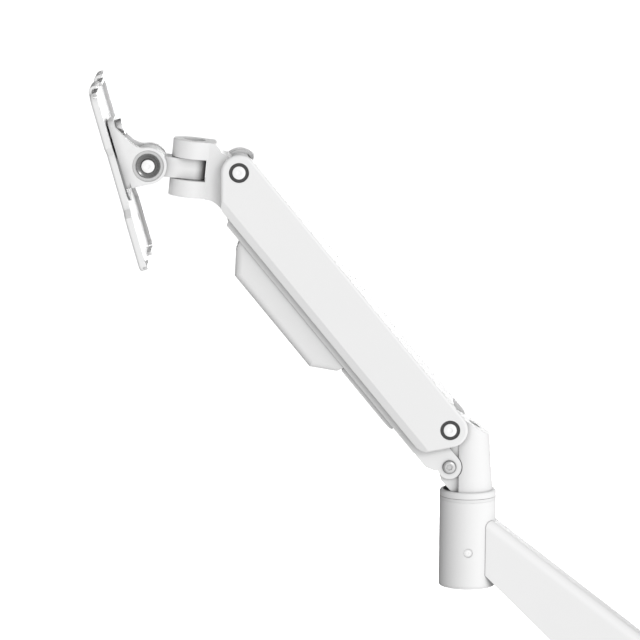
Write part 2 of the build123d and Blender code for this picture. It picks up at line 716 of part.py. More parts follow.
with BuildPart() as sleeve_end_cap:
    with BuildSketch(Plane.XY.offset(SLEEVE_LOW - END_CAP_T)):
        with Locations((ELBOW_X, 0)):
            Circle(SLEEVE_R)
    extrude(amount=END_CAP_T)
    fillet(sleeve_end_cap.faces().sort_by(Axis.Z)[0].edges(), END_CAP_T - 0.6)
    with BuildSketch(Plane.XY.offset(SLEEVE_LOW)):
        with Locations((ELBOW_X, 0)):
            Circle(SLEEVE_RECESS_R)
            Circle(SLEEVE_RECESS_R - 2, mode=Mode.SUBTRACT)
    extrude(amount=2)
finish_part(sleeve_end_cap, "sleeve_end_cap")

friction_z = ELBOW_TOP - FRICTION_DROP
with BuildPart() as friction_screw:
    with BuildSketch(Plane.XZ.offset(SLEEVE_BORE_R - 0.5)):
        with Locations((ELBOW_X, friction_z)):
            Circle(FRICTION_R)
    extrude(amount=SLEEVE_R - SLEEVE_BORE_R)
    with BuildSketch(Plane.XZ.offset(SLEEVE_R - 0.5)):
        with Locations((ELBOW_X, friction_z)):
            RegularPolygon(1.5, 6, major_radius=False)
    extrude(amount=-3, mode=Mode.SUBTRACT)
finish_part(friction_screw, "friction_screw")

with BuildPart() as brake_shoe:
    with BuildSketch(Plane.XZ.offset(SPINDLE_R + 0.3)):
        with Locations((ELBOW_X, friction_z)):
            Circle(FRICTION_R - 0.1)
    extrude(amount=SLEEVE_BORE_R - 0.5 - SPINDLE_R - 0.3)
    with BuildSketch(Plane.XY.offset(friction_z - 5)):
        with Locations((ELBOW_X, 0)):
            Circle(SPINDLE_R + RUN_GAP)
    extrude(amount=10, mode=Mode.SUBTRACT)
finish_part(brake_shoe, "brake_shoe")

# ================================================================ knuckle
spindle_low = recess_top - BUSH_FLANGE_T - 0.4
spindle_top = ELBOW_TOP + 20.0
with BuildPart() as elbow_spindle:
    with BuildSketch(Plane.XY.offset(spindle_low)):
        with Locations((ELBOW_X, 0)):
            Circle(SPINDLE_R)
            Circle(PIVOT_R, mode=Mode.SUBTRACT)
    extrude(amount=20)
    with BuildSketch(Plane.XY.offset(spindle_low + 20)):
        with Locations((ELBOW_X, 0)):
            Circle(SPINDLE_R)
    extrude(amount=spindle_top - spindle_low - 20)
finish_part(elbow_spindle, "elbow_spindle")

with BuildPart() as spindle_screw:
    with BuildSketch(Plane.XY.offset(spindle_low - 3)):
        with Locations((ELBOW_X, 0)):
            Circle(SLEEVE_RECESS_R - 3)
    extrude(amount=3)
    with BuildSketch(Plane.XY.offset(spindle_low)):
        with Locations((ELBOW_X, 0)):
            Circle(PIVOT_R)
    extrude(amount=18)
    with BuildSketch(Plane.XY.offset(spindle_low - 3)):
        with Locations((ELBOW_X, 0)):
            RegularPolygon(2.5, 6, major_radius=False)
    extrude(amount=5, mode=Mode.SUBTRACT)
finish_part(spindle_screw, "spindle_screw")

with BuildPart() as elbow_collar:
    with BuildSketch(Plane.XY.offset(KNUCKLE_LOW)):
        with Locations((ELBOW_X, 0)):
            Circle(SLEEVE_R)
            Circle(KNUCKLE_R, mode=Mode.SUBTRACT)
    extrude(amount=COLLAR_T)
    rim = elbow_collar.edges().filter_by(GeomType.CIRCLE).group_by(Axis.Z)[-1]
    fillet(rim.sort_by(SortBy.RADIUS)[-1], COLLAR_EDGE)
finish_part(elbow_collar, "elbow_collar")

knuckle_low_h = KNUCKLE_LOW - ELBOW_TOP
taper_from = knuckle_low_h + COLLAR_T
post_h = TOP_POINT_H + 8
a1_local = (ELBOW_PIVOT_X, ELBOW_PIVOT_H)
b1_local = (ELBOW_PIVOT_X, ELBOW_PIVOT_H - LINK_DROP)
POCKET_X = -7.2
POCKET_TOP = 44.0
spring_up = (C2 - C1).normalized()
low_rise = radians(ARM_RISE - LIFT_TRAVEL)
spring_down = Vector(-cos(low_rise), 0, sin(low_rise))
SLOT_REACH = 46.0

with BuildPart() as elbow_knuckle:
    with BuildSketch(ELBOW_PLANE):
        with BuildLine():
            Polyline(
                (0, knuckle_low_h),
                (KNUCKLE_R, knuckle_low_h),
                (KNUCKLE_R, taper_from),
                (KNUCKLE_R - KNUCKLE_TAPER * (post_h - taper_from), post_h),
                (0, post_h),
                close=True,
            )
        make_face()
    revolve(axis=ELBOW_AXIS)
    with BuildSketch(ELBOW_PLANE):
        with BuildLine():
            Polyline(
                (0, knuckle_low_h + 1),
                (-12.5, knuckle_low_h + 1),
                (-18.6, b1_local[1] - 13.0),
                (-21.6, b1_local[1] - 3.0),
                (-22.2, a1_local[1]),
                (0, a1_local[1]),
                close=True,
            )
        make_face()
        with Locations(a1_local):
            Circle(BOSS_R)
    extrude(amount=TONGUE_HALF, both=True)
    side_discs(A1, BOSS_R, 5.0, BOSS_HALF)
    # the lower link's two walls close over the tongue in a pocket on each side
    pocket_middle = ELBOW_PLANE.from_local_coords(
        ((POCKET_X - 30) / 2, (knuckle_low_h + POCKET_TOP) / 2, 0)
    )
    for side in SIDES:
        flat = out_of(ELBOW_PLANE, side, TONGUE_HALF)
        with BuildSketch(flat):
            with Locations(place(flat, pocket_middle)):
                Rectangle(30 + POCKET_X, POCKET_TOP - knuckle_low_h)
            with Locations(place(flat, B1)):
                Circle(LINK_LUG_R + 0.5)
        extrude(amount=20, mode=Mode.SUBTRACT)
    # sloping top face
    with BuildSketch(ADJUST_PLANE):
        Rectangle(80, 120)
    extrude(amount=40, mode=Mode.SUBTRACT)
    # lower left corner cut back so that the link can swing down past the collar
    with BuildSketch(ELBOW_PLANE):
        with BuildLine():
            Polyline(
                (-12.5, -5), (-12.5, taper_from + 0.2), (-21, 16.5), (-40, 16.5), (-40, -5), close=True
            )
        make_face()
    extrude(amount=30, both=True, mode=Mode.SUBTRACT)
    # room for the spring's fork and rod over the whole travel
    with BuildSketch(ELBOW_PLANE):
        with BuildLine():
            CenterArc(place(ELBOW_PLANE, C1), EYE_R + ARC_RISE / 2 + 0.6, 0, 360)
            for direction in (spring_up, spring_down):
                end = place(ELBOW_PLANE, C1 + direction * SLOT_REACH)
                CenterArc(end, ROD_R + 3.5, 0, 360)
        make_hull()
    extrude(amount=YOKE_SLOT_HALF, both=True, mode=Mode.SUBTRACT)
    # adjuster bore and the recess for its head
    with BuildSketch(ADJUST_PLANE):
        Circle(ADJUST_HEAD_R + 0.4)
    extrude(amount=-5, mode=Mode.SUBTRACT)
    with BuildSketch(ADJUST_PLANE):
        Circle(ADJUST_R + 0.1)
    extrude(amount=-ADJUST_DEPTH, mode=Mode.SUBTRACT)
    cross_cut(A1, PIVOT_THREAD_R, BOSS_HALF + 1)
    cross_cut(B1, LINK_THREAD_R, TONGUE_HALF + 1)
    with BuildSketch(Plane.XY.offset(KNUCKLE_LOW)):
        with Locations((ELBOW_X, 0)):
            Circle(SPINDLE_R)
    extrude(amount=spindle_top - KNUCKLE_LOW, mode=Mode.SUBTRACT)
finish_part(elbow_knuckle, "elbow_knuckle")

with BuildPart() as adjust_screw:
    with BuildSketch(ADJUST_PLANE.offset(-5)):
        Circle(ADJUST_HEAD_R)
    extrude(amount=4)
    with BuildSketch(ADJUST_PLANE.offset(-5)):
        Circle(ADJUST_R)
    extrude(amount=-(ADJUST_DEPTH + 8 - 5))
    with BuildSketch(ADJUST_PLANE.offset(-1)):
        RegularPolygon(2.5, 6, major_radius=False)
    extrude(amount=-3, mode=Mode.SUBTRACT)
finish_part(adjust_screw, "adjust_screw")

with BuildPart() as anchor_block:
    with BuildSketch(ADJUST_PLANE.offset(-ADJUST_DEPTH - 5.5)):
        RectangleRounded(2 * ANCHOR_HALF, 11, 1)
        Circle(ADJUST_R, mode=Mode.SUBTRACT)
    extrude(amount=11)
    cross_cut(C1, ANCHOR_PIN_R, 10)
finish_part(anchor_block, "anchor_block")

with BuildPart() as anchor_pins:
    side_discs(C1, ANCHOR_PIN_R, ADJUST_R + 0.1, FORK_IN + FORK_T)
finish_part(anchor_pins, "anchor_pins")

bush_face = CHANNEL_W / 2 - BUSH_RECESS
for name, centre in (("elbow_pivot_bolts", A1), ("head_pivot_bolts", A2)):
    with BuildPart() as pivot_bolts:
        side_discs(centre, PIVOT_THREAD_R, BOSS_HALF - 9, BOSS_HALF)
        side_discs(centre, PIVOT_R, BOSS_HALF, bush_face + 0.1)
        side_discs(centre, PIVOT_HEAD_R, bush_face + 0.1, CHANNEL_W / 2)
    finish_part(pivot_bolts, name)

for name, centre in (("elbow_arm_bushes", A1), ("head_arm_bushes", A2)):
    with BuildPart() as arm_bushes:
        side_discs(centre, BUSH_R, BOSS_HALF + 0.15, bush_face)
        side_cuts(centre, PIVOT_R + RUN_GAP, BOSS_HALF, CHANNEL_W / 2)
    finish_part(arm_bushes, name)

for name, centre in (("link_elbow_screws", B1), ("link_head_screws", B2)):
    with BuildPart() as link_screws:
        side_discs(centre, LINK_THREAD_R, YOKE_SLOT_HALF + 0.1, TONGUE_HALF)
        side_discs(centre, LINK_PIN_R, TONGUE_HALF, LINK_W / 2 + 0.1)
        side_discs(centre, LINK_HEAD_R, LINK_W / 2 + 0.1, LINK_W / 2 + LINK_HEAD_T)
        side_cuts(centre, LINK_SOCKET_R, LINK_W / 2 + 0.3, LINK_W / 2 + LINK_HEAD_T + 1)
    finish_part(link_screws, name)

with BuildPart() as link_bushes:
    for centre in (B1, B2):
        side_discs(centre, LINK_BUSH_R, TONGUE_HALF + 0.15, LINK_W / 2)
        side_cuts(centre, LINK_PIN_R + RUN_GAP, TONGUE_HALF, LINK_W / 2 + 1)
finish_part(link_bushes, "link_bushes")

# ================================================================ upper arm channel
plumb = radians(ARM_RISE)
left_touch = (-EAR_R * cos(plumb), -EAR_R * sin(plumb))
nose_low = CHANNEL_LOW + 1.0
nose_t = left_touch[0] + (left_touch[1] - nose_low) / cos(plumb) * sin(plumb)
heel = (1.5, -23.8)      # back corner of the channel's side, from the elbow pivot
heel_turn = atan2(heel[1], heel[0]) + acos(EAR_R / hypot(*heel))
elbow_touch = (ARM_LENGTH + EAR_R * cos(heel_turn), EAR_R * sin(heel_turn))
half_w = CHANNEL_W / 2
in_w = half_w - CHANNEL_WALL
roof_in = EAR_R - CHANNEL_WALL
ARM_SECTION = Plane(origin=A2, x_dir=(0, 1, 0), z_dir=ARM_DIR)
section_up = 1 if ARM_SECTION.y_dir.dot(ARM_UP) > 0 else -1

with BuildPart() as upper_channel:
    with BuildSketch(ARM_PLANE):
        with BuildLine():
            Line((0, EAR_R), (ARM_LENGTH, EAR_R))
            ThreePointArc(
                (ARM_LENGTH, EAR_R),
                (ARM_LENGTH + EAR_R * cos(radians(40)), EAR_R * sin(radians(40))),
                elbow_touch,
            )
            Polyline(
                elbow_touch,
                (ARM_LENGTH + heel[0], heel[1]),
                (ARM_LENGTH - 4.0, CHANNEL_LOW),
                (nose_t + 3.0, CHANNEL_LOW),
                (nose_t, nose_low),
                left_touch,
            )
            ThreePointArc(
                left_touch,
                (-EAR_R * cos(radians(30)), EAR_R * sin(radians(30))),
                (0, EAR_R),
            )
        make_face()
        low_corner = min(
            vertices(), key=lambda v: hypot(v.X - (ARM_LENGTH - 4.0), v.Y - CHANNEL_LOW)
        )
        fillet(low_corner, 8.0)
    extrude(amount=half_w, both=True)
    outline = upper_channel.edges().filter_by(lambda e: abs(abs(e.center().Y) - half_w) < 0.01)
    fillet(outline, CHANNEL_EDGE)
    # bevel along the lower edge of each side
    for side in SIDES:
        with BuildSketch(ARM_SECTION.offset(-40)):
            with BuildLine():
                Polyline(
                    (side * half_w, section_up * BEVEL_START),
                    (side * (half_w - BEVEL_IN), section_up * CHANNEL_LOW),
                    (side * (half_w - BEVEL_IN), section_up * (CHANNEL_LOW - 4)),
                    (side * (half_w + 4), section_up * (CHANNEL_LOW - 4)),
                    (side * (half_w + 4), section_up * BEVEL_START),
                    close=True,
                )
            make_face()
        extrude(amount=ARM_LENGTH + 80, mode=Mode.SUBTRACT)
    # inside of the channel, open below and at both ends
    with BuildSketch(ARM_SECTION.offset(-40)):
        with BuildLine():
            Polyline(
                (-in_w, section_up * roof_in),
                (in_w, section_up * roof_in),
                (in_w, section_up * (BEVEL_START + 2)),
                (in_w - BEVEL_IN, section_up * CHANNEL_LOW),
                (in_w - BEVEL_IN, section_up * (CHANNEL_LOW - 30)),
                (-in_w + BEVEL_IN, section_up * (CHANNEL_LOW - 30)),
                (-in_w + BEVEL_IN, section_up * CHANNEL_LOW),
                (-in_w, section_up * (BEVEL_START + 2)),
                close=True,
            )
        make_face()
    extrude(amount=ARM_LENGTH + 80, mode=Mode.SUBTRACT)
    # the roof stops short of both pivots, with rounded corners, so the ears stand alone
    roof_plane = Plane(origin=A2 + ARM_UP * roof_in * 0.5, x_dir=ARM_DIR, z_dir=ARM_UP)
    with BuildSketch(roof_plane):
        with Locations((-20, 0), (ARM_LENGTH - TOP_CUT + 20, 0)):
            RectangleRounded(40, 2 * in_w, 8)
        with Locations((-30, 0), (ARM_LENGTH - TOP_CUT + 30, 0)):
            Rectangle(40, 2 * in_w)
    extrude(amount=20, mode=Mode.SUBTRACT)
    for centre in (A1, A2):
        side_discs(centre, EAR_R - 1.5, EAR_HALF_IN, in_w)
    side_discs(C2, SPRING_PIN_R + 3, LINK_W / 2 + 1, in_w)
    for centre in (A1, A2):
        cross_cut(centre, BUSH_R, half_w + 1)
    side_cuts(C2, SPRING_PIN_R, LINK_W / 2, in_w - 0.5)
finish_part(upper_channel, "upper_channel")

with BuildPart() as spring_pin:
    with BuildSketch(Plane.XZ):
        with Locations((C2.X, C2.Z)):
            Circle(SPRING_PIN_R)
    extrude(amount=in_w - 0.6, both=True)
finish_part(spring_pin, "spring_pin")

# ================================================================ lower link
FLOOR_FROM = 14.0
FLOOR_TO = ARM_LENGTH - 16.0
link_half = LINK_W / 2
with BuildPart() as lower_link:
    with BuildSketch(LINK_PLANE):
        with BuildLine():
            Polyline(
                (0, LINK_LUG_R),
                (ARM_LENGTH, LINK_LUG_R),
                (ARM_LENGTH, -3),
                (ARM_LENGTH - 4.5, -9.8),
                (ARM_LENGTH - 10.6, LINK_LOW),
                (2.4, LINK_LOW),
                (0, -LINK_LUG_R),
                close=True,
            )
        make_face()
        with Locations((0, 0), (ARM_LENGTH, 0)):
            Circle(LINK_LUG_R)
    extrude(amount=link_half, both=True)
    with BuildSketch(LINK_PLANE):
        with Locations((ARM_LENGTH / 2, LINK_LOW + LINK_WALL + 25)):
            Rectangle(ARM_LENGTH + 60, 50)
        with Locations((FLOOR_FROM - 25, 0), (FLOOR_TO + 25, 0)):
            Rectangle(50, 60)
    extrude(amount=link_half - LINK_WALL, both=True, mode=Mode.SUBTRACT)
    for centre in (B1, B2):
        cross_cut(centre, LINK_BUSH_R, link_half + 1)
finish_part(lower_link, "lower_link")

cover_top = LINK_LOW - 0.05
cover_low = cover_top - COVER_DEPTH
mouth = 6.0
with BuildPart() as cable_cover:
    with BuildSketch(LINK_PLANE):
        with BuildLine():
            Polyline(
                (COVER_START, cover_top),
                (COVER_START + 3.2, cover_top - mouth),
                (COVER_START + 17.0, cover_low),
                (COVER_END - 15.5, cover_low),
                (COVER_END - 1.2, cover_top - mouth),
                (COVER_END, cover_top),
                close=True,
            )
        make_face()
    extrude(amount=COVER_W / 2, both=True)
    low_edges = cable_cover.edges().filter_by(
        lambda e: abs(abs(e.center().Y) - COVER_W / 2) < 0.01
        and LINK_PLANE.to_local_coords(e.center()).Y < cover_top - mouth
    )
    fillet(low_edges, 5.0)
    with BuildSketch(LINK_PLANE):
        with BuildLine():
            Polyline(
                (COVER_START - 5, cover_top + 1),
                (COVER_START - 5, cover_top - mouth),
                (COVER_START + 5.4, cover_top - mouth),
                (COVER_START + 17.8, cover_low + COVER_WALL),
                (COVER_END - 16.3, cover_low + COVER_WALL),
                (COVER_END - 3.4, cover_top - mouth),
                (COVER_END - 2.2, cover_top + 1),
                close=True,
            )
        make_face()
    extrude(amount=COVER_W / 2 - COVER_WALL - 1.0, both=True, mode=Mode.SUBTRACT)
finish_part(cable_cover, "cable_cover")

strip_plane = Plane(origin=B2 + ARM_UP * (LINK_LOW - 0.05), x_dir=ARM_DIR, z_dir=-ARM_UP)
with BuildPart() as cable_strip:
    with BuildSketch(strip_plane):
        with Locations(((STRIP_START + STRIP_END - STRIP_W / 2) / 2, 0)):
            Rectangle(STRIP_END - STRIP_W / 2 - STRIP_START, STRIP_W)
        with Locations((STRIP_END - STRIP_W / 2, 0)):
            Circle(STRIP_W / 2)
    extrude(amount=STRIP_T)
    fillet(cable_strip.faces().sort_by(Axis((0, 0, 0), tuple(-ARM_UP)))[-1].edges(), 1.2)
finish_part(cable_strip, "cable_strip")

# ================================================================ gas spring
CYLINDER_FROM = 10.0
FORK_BRIDGE = 15.0
with BuildPart() as gas_cylinder:
    with BuildSketch(SPRING_END.offset(CYLINDER_FROM)):
        Circle(CYLINDER_R)
    extrude(amount=CYLINDER_L)
    chamfer(gas_cylinder.edges().filter_by(GeomType.CIRCLE), 1)
    with BuildSketch(SPRING_PLANE):
        Circle(SPRING_PIN_R + 3.5)
        with Locations((CYLINDER_FROM / 2, 0)):
            Rectangle(CYLINDER_FROM + 1, 9)
    extrude(amount=5, both=True)
    cross_cut(C2, SPRING_PIN_R + RUN_GAP, 8)
    with BuildSketch(SPRING_END.offset(CYLINDER_FROM + 8)):
        Circle(ROD_R + RUN_GAP)
    extrude(amount=CYLINDER_L, mode=Mode.SUBTRACT)
finish_part(gas_cylinder, "gas_cylinder")

ROD_INSERT = 40.0
rod_from = CYLINDER_FROM + CYLINDER_L - ROD_INSERT
with BuildPart() as gas_rod:
    with BuildSketch(SPRING_END.offset(rod_from)):
        Circle(ROD_R)
    extrude(amount=SPRING_L - FORK_BRIDGE - rod_from)
finish_part(gas_rod, "gas_rod")

with BuildPart() as rod_fork:
    with BuildSketch(SPRING_PLANE):
        with Locations((SPRING_L, 0)):
            Circle(EYE_R)
        with Locations((SPRING_L - (FORK_BRIDGE + 6) / 2, 0)):
            Rectangle(FORK_BRIDGE + 6, 12)
    extrude(amount=FORK_IN + FORK_T, both=True)
    with BuildSketch(SPRING_PLANE):
        with Locations((SPRING_L + 20 - FORK_BRIDGE + 1.5, 0)):
            Rectangle(40, 40)
    extrude(amount=FORK_IN, both=True, mode=Mode.SUBTRACT)
    with BuildSketch(SPRING_PLANE):
        with Locations((SPRING_L, 0)):
            Circle(EYE_HOLE_R)
    extrude(amount=20, both=True, mode=Mode.SUBTRACT)
    with BuildSketch(SPRING_END.offset(SPRING_L - FORK_BRIDGE)):
        Circle(ROD_R)
    extrude(amount=-20, mode=Mode.SUBTRACT)
finish_part(rod_fork, "rod_fork")

# ================================================================ head yoke


def ear_top(x):
    """Height of the upper ear's top face above the head pivot, x from that pivot."""
    rise = PAN_TOP / cos(radians(PAN_LEAN))
    return PAN_Z + rise - (x - PAN_X) * tan(radians(PAN_LEAN))


with BuildPart() as head_yoke:
    with BuildSketch(PAN_PLANE.offset(-PAN_LOW)):
        with BuildLine():
            CenterArc((0, 0), PAN_EAR_R, 0, 360)
            Polyline((10, -NECK_HALF), (11, -NECK_HALF), (11, NECK_HALF), (10, NECK_HALF), close=True)
        make_hull()
    extrude(amount=PAN_LOW + PAN_TOP)
    with BuildSketch(HEAD_PLANE):
        with BuildLine():
            Line((PAN_X + 9.0, ear_top(PAN_X + 9.0)), (PAN_SHOULDER, ear_top(PAN_SHOULDER)))
            Spline(
                (PAN_SHOULDER, ear_top(PAN_SHOULDER)),
                (-14.2, 15.5),
                (-11.4, 11.8),
                (-8.2, 10.6),
                tangents=[(1, -0.1), (1, -0.1)],
            )
            Line((-8.2, 10.6), (-5.2, 7.4))
            Line((-5.2, 7.4), (0, 0))
            Polyline((0, 0), (YOKE_LUG_R, -2), (YOKE_LUG_R, -LINK_DROP))
            ThreePointArc(
                (YOKE_LUG_R, -LINK_DROP),
                (YOKE_LUG_R * sin(radians(45)), -LINK_DROP - YOKE_LUG_R * cos(radians(45))),
                (0, -LINK_DROP - YOKE_LUG_R),
            )
            Line((0, -LINK_DROP - YOKE_LUG_R), (-7.6, -LINK_DROP - 6.9))
            Spline(
                (-7.6, -LINK_DROP - 6.9),
                (-12.4, -27.3),
                (-17.8, -22.4),
                (PAN_X + 9.0, -20.6),
                tangents=[(-0.45, 0.9), (-1, 0.1)],
            )
            Line((PAN_X + 9.0, -20.6), (PAN_X + 9.0, ear_top(PAN_X + 9.0)))
        make_face()
    extrude(amount=NECK_HALF, both=True)
    side_discs(A2, BARREL_R, 0, BOSS_HALF)
    with BuildSketch(PAN_PLANE.offset(-PAN_SLOT / 2)):
        with Locations((PAN_SLOT_BACK - 25, 0)):
            Rectangle(50, 60)
    extrude(amount=PAN_SLOT, mode=Mode.SUBTRACT)
    cross_cut(A2, PIVOT_THREAD_R, BOSS_HALF + 1)
    cross_cut(B2, LINK_THREAD_R, NECK_HALF + 1)
    with BuildSketch(PAN_PLANE.offset(-PAN_LOW + PAN_FLOOR)):
        Circle(PAN_PIN_R)
    extrude(amount=60, mode=Mode.SUBTRACT)
    with BuildSketch(PAN_PLANE.offset(PAN_TOP)):
        Circle(PAN_RECESS_R)
    extrude(amount=-PAN_RECESS_H, mode=Mode.SUBTRACT)
finish_part(head_yoke, "head_yoke")

with BuildPart() as pan_pin:
    with BuildSketch(PAN_PLANE.offset(PAN_TOP - PAN_RECESS_H)):
        Circle(PAN_RECESS_R - 0.8)
    extrude(amount=PAN_HEAD_H)
    with BuildSketch(PAN_PLANE.offset(PAN_TOP - PAN_RECESS_H)):
        Circle(PAN_PIN_R)
    extrude(amount=-(PAN_TOP - PAN_RECESS_H + PAN_LOW - PAN_FLOOR - 0.5))
    with BuildSketch(PAN_PLANE.offset(PAN_TOP - PAN_RECESS_H + PAN_HEAD_H)):
        RegularPolygon(PAN_HEX, 6, major_radius=False)
    extrude(amount=-4, mode=Mode.SUBTRACT)
finish_part(pan_pin, "pan_pin")

# ================================================================ pan block
with BuildPart() as pan_block:
    with BuildSketch(PAN_PLANE.offset(-BLOCK_HALF_H)):
        Circle(BLOCK_HALF_W)
        with Locations((-TILT_OUT / 2, 0)):
            Rectangle(TILT_OUT, 2 * BLOCK_HALF_W)
    extrude(amount=2 * BLOCK_HALF_H)
    side_discs(TILT, TILT_BOSS_R, 0, BLOCK_HALF_W)
    with BuildSketch(PAN_PLANE.offset(-20)):
        Circle(PAN_PIN_R + RUN_GAP)
    extrude(amount=40, mode=Mode.SUBTRACT)
    cross_cut(TILT, TILT_BOLT_R + RUN_GAP, 20)
finish_part(pan_block, "pan_block")

with BuildPart() as pan_washers:
    for level, grow in ((BLOCK_HALF_H, 1), (-BLOCK_HALF_H, -1)):
        with BuildSketch(PAN_PLANE.offset(level)):
            Circle(BLOCK_HALF_W - 0.2)
            Circle(PAN_PIN_R + 0.3, mode=Mode.SUBTRACT)
        extrude(amount=grow * 0.5)
finish_part(pan_washers, "pan_washers")

with BuildPart() as tilt_friction_washers:
    side_discs(TILT, TILT_BOSS_R - 2, BLOCK_HALF_W, CHEEK_IN - 0.1)
    side_cuts(TILT, TILT_BOLT_R + 0.2, BLOCK_HALF_W - 1, CHEEK_IN + 1)
finish_part(tilt_friction_washers, "tilt_friction_washers")

# ================================================================ tilt bracket
base_front = PLATE_FRONT - PLATE_T - 0.1 - WASHER_T
base_back = base_front - BASE_T
with BuildPart() as tilt_bracket:
    for side in SIDES:
        cheek_plane = Plane(
            origin=TILT + Vector(0, side * CHEEK_IN, 0), x_dir=PLATE_OUT, z_dir=(0, 1, 0)
        )
        with BuildSketch(cheek_plane):
            with BuildLine():
                Spline(
                    (-1.5, 12.9),
                    (5.2, 16.6),
                    (10.4, 24.4),
                    (base_back + 0.5, 33.0),
                    tangents=[(1, 0.12), (0.6, 0.9)],
                )
                Polyline(
                    (base_back + 0.5, 33.0),
                    (base_back + 0.5, BASE_BOTTOM),
                    (base_back - 2.5, BASE_BOTTOM),
                    (2.5, -12.75),
                    (0, 0),
                    (-1.5, 12.9),
                )
            make_face()
            Circle(CHEEK_R)
        extrude(amount=side * (CHEEK_OUT - CHEEK_IN))
    with BuildSketch(PLATE_PLANE.offset(base_back)):
        with Locations((0, (BASE_TOP + BASE_BOTTOM) / 2)):
            RectangleRounded(2 * CHEEK_OUT, BASE_TOP - BASE_BOTTOM, 5)
    extrude(amount=BASE_T)
    side_cuts(TILT, CHEEK_RECESS_R, CHEEK_OUT - CHEEK_RECESS, CHEEK_OUT + 1)
    cross_cut(TILT, TILT_BOLT_R, CHEEK_OUT + 1)
    with BuildSketch(PLATE_PLANE.offset(base_back - 1)):
        with Locations((0, LOCK_B)):
            Circle(LOCK_R)
        with Locations((0, PLATE_CENTRE)):
            Circle(PIVOT_R)
    extrude(amount=BASE_T + 2, mode=Mode.SUBTRACT)
finish_part(tilt_bracket, "tilt_bracket")

recess_floor = CHEEK_OUT - CHEEK_RECESS
with BuildPart() as tilt_dish_washers:
    for side in SIDES:
        flat = out_of(HEAD_PLANE, side, recess_floor)
        with BuildSketch(flat):
            with Locations(place(flat, TILT)):
                Circle(DISH_R)
                Circle(TILT_BOLT_R + 0.2, mode=Mode.SUBTRACT)
        extrude(amount=DISH_T)
    rims = tilt_dish_washers.edges().filter_by(GeomType.CIRCLE)
    fillet(rims.filter_by(lambda e: e.radius > 8 and abs(e.center().Y) > recess_floor + 0.5), 0.5)
finish_part(tilt_dish_washers, "tilt_dish_washers")

washer_face = recess_floor + DISH_T
with BuildPart() as tilt_bolt:
    flat = out_of(HEAD_PLANE, -1, washer_face)
    with BuildSketch(flat):
        with Locations(place(flat, TILT)):
            Circle(PIVOT_HEAD_R)
    extrude(amount=TILT_HEAD_T)
    with BuildSketch(flat):
        with Locations(place(flat, TILT)):
            Circle(TILT_BOLT_R)
    extrude(amount=-(2 * washer_face + 3))
    with BuildSketch(out_of(HEAD_PLANE, -1, washer_face + TILT_HEAD_T)):
        with Locations(place(out_of(HEAD_PLANE, -1, 0), TILT)):
            RegularPolygon(TILT_HEX, 6, major_radius=False)
    extrude(amount=-1.5, mode=Mode.SUBTRACT)
finish_part(tilt_bolt, "tilt_bolt")

with BuildPart() as tilt_nut:
    flat = out_of(HEAD_PLANE, 1, washer_face)
    with BuildSketch(flat):
        with Locations(place(flat, TILT)):
            RegularPolygon(5.0, 6, major_radius=False)
            Circle(TILT_BOLT_R, mode=Mode.SUBTRACT)
    extrude(amount=4.5)
finish_part(tilt_nut, "tilt_nut")

with BuildPart() as lock_screw:
    with BuildSketch(PLATE_PLANE.offset(base_back)):
        with Locations((0, LOCK_B)):
            Circle(LOCK_HEAD_R)
    extrude(amount=-LOCK_HEAD_H)
    fillet(lock_screw.edges().filter_by(GeomType.CIRCLE), 0.8)
    with BuildSketch(PLATE_PLANE.offset(base_back)):
        with Locations((0, LOCK_B)):
            Circle(LOCK_R)
    extrude(amount=BASE_T + WASHER_T - 0.1)
finish_part(lock_screw, "lock_screw")

web_back = PLATE_FRONT - PLATE_T
head_low = PLATE_FRONT - 0.1 - TURN_HEAD_T
with BuildPart() as rotation_bolt:
    with BuildSketch(PLATE_PLANE.offset(head_low)):
        with Locations((0, PLATE_CENTRE)):
            Circle(TURN_HEAD_R)
    extrude(amount=TURN_HEAD_T)
    with BuildSketch(PLATE_PLANE.offset(base_front)):
        with Locations((0, PLATE_CENTRE)):
            Circle(TURN_R)
    extrude(amount=head_low - base_front)
    with BuildSketch(PLATE_PLANE.offset(base_back + 0.1)):
        with Locations((0, PLATE_CENTRE)):
            Circle(PIVOT_R)
    extrude(amount=BASE_T - 0.1)
    with BuildSketch(PLATE_PLANE.offset(PLATE_FRONT - 0.1)):
        with Locations((0, PLATE_CENTRE)):
            RegularPolygon(3.0, 6, major_radius=False)
    extrude(amount=-2.5, mode=Mode.SUBTRACT)
finish_part(rotation_bolt, "rotation_bolt")

with BuildPart() as rotation_washer:
    with BuildSketch(PLATE_PLANE.offset(base_front)):
        with Locations((0, PLATE_CENTRE)):
            Circle(WASHER_R)
            Circle(TURN_R + RUN_GAP, mode=Mode.SUBTRACT)
    extrude(amount=WASHER_T)
finish_part(rotation_washer, "rotation_washer")

# ================================================================ screen plate
def plate_outline(grow):
    """Outline of the plate with its waist, moved outwards by grow."""
    out = PLATE_HALF_W + grow
    waist = PLATE_WAIST + grow
    top = PLATE_TOP + grow
    low = PLATE_BOTTOM - grow
    near = WAIST_HALF
    far = WAIST_HALF + WAIST_RAMP
    right = [
        (out, low),
        (out, PLATE_CENTRE - far),
        (waist, PLATE_CENTRE - near),
        (waist, PLATE_CENTRE + near),
        (out, PLATE_CENTRE + far),
        (out, top),
    ]
    left = [(-x, y) for x, y in reversed(right)]
    return right + left


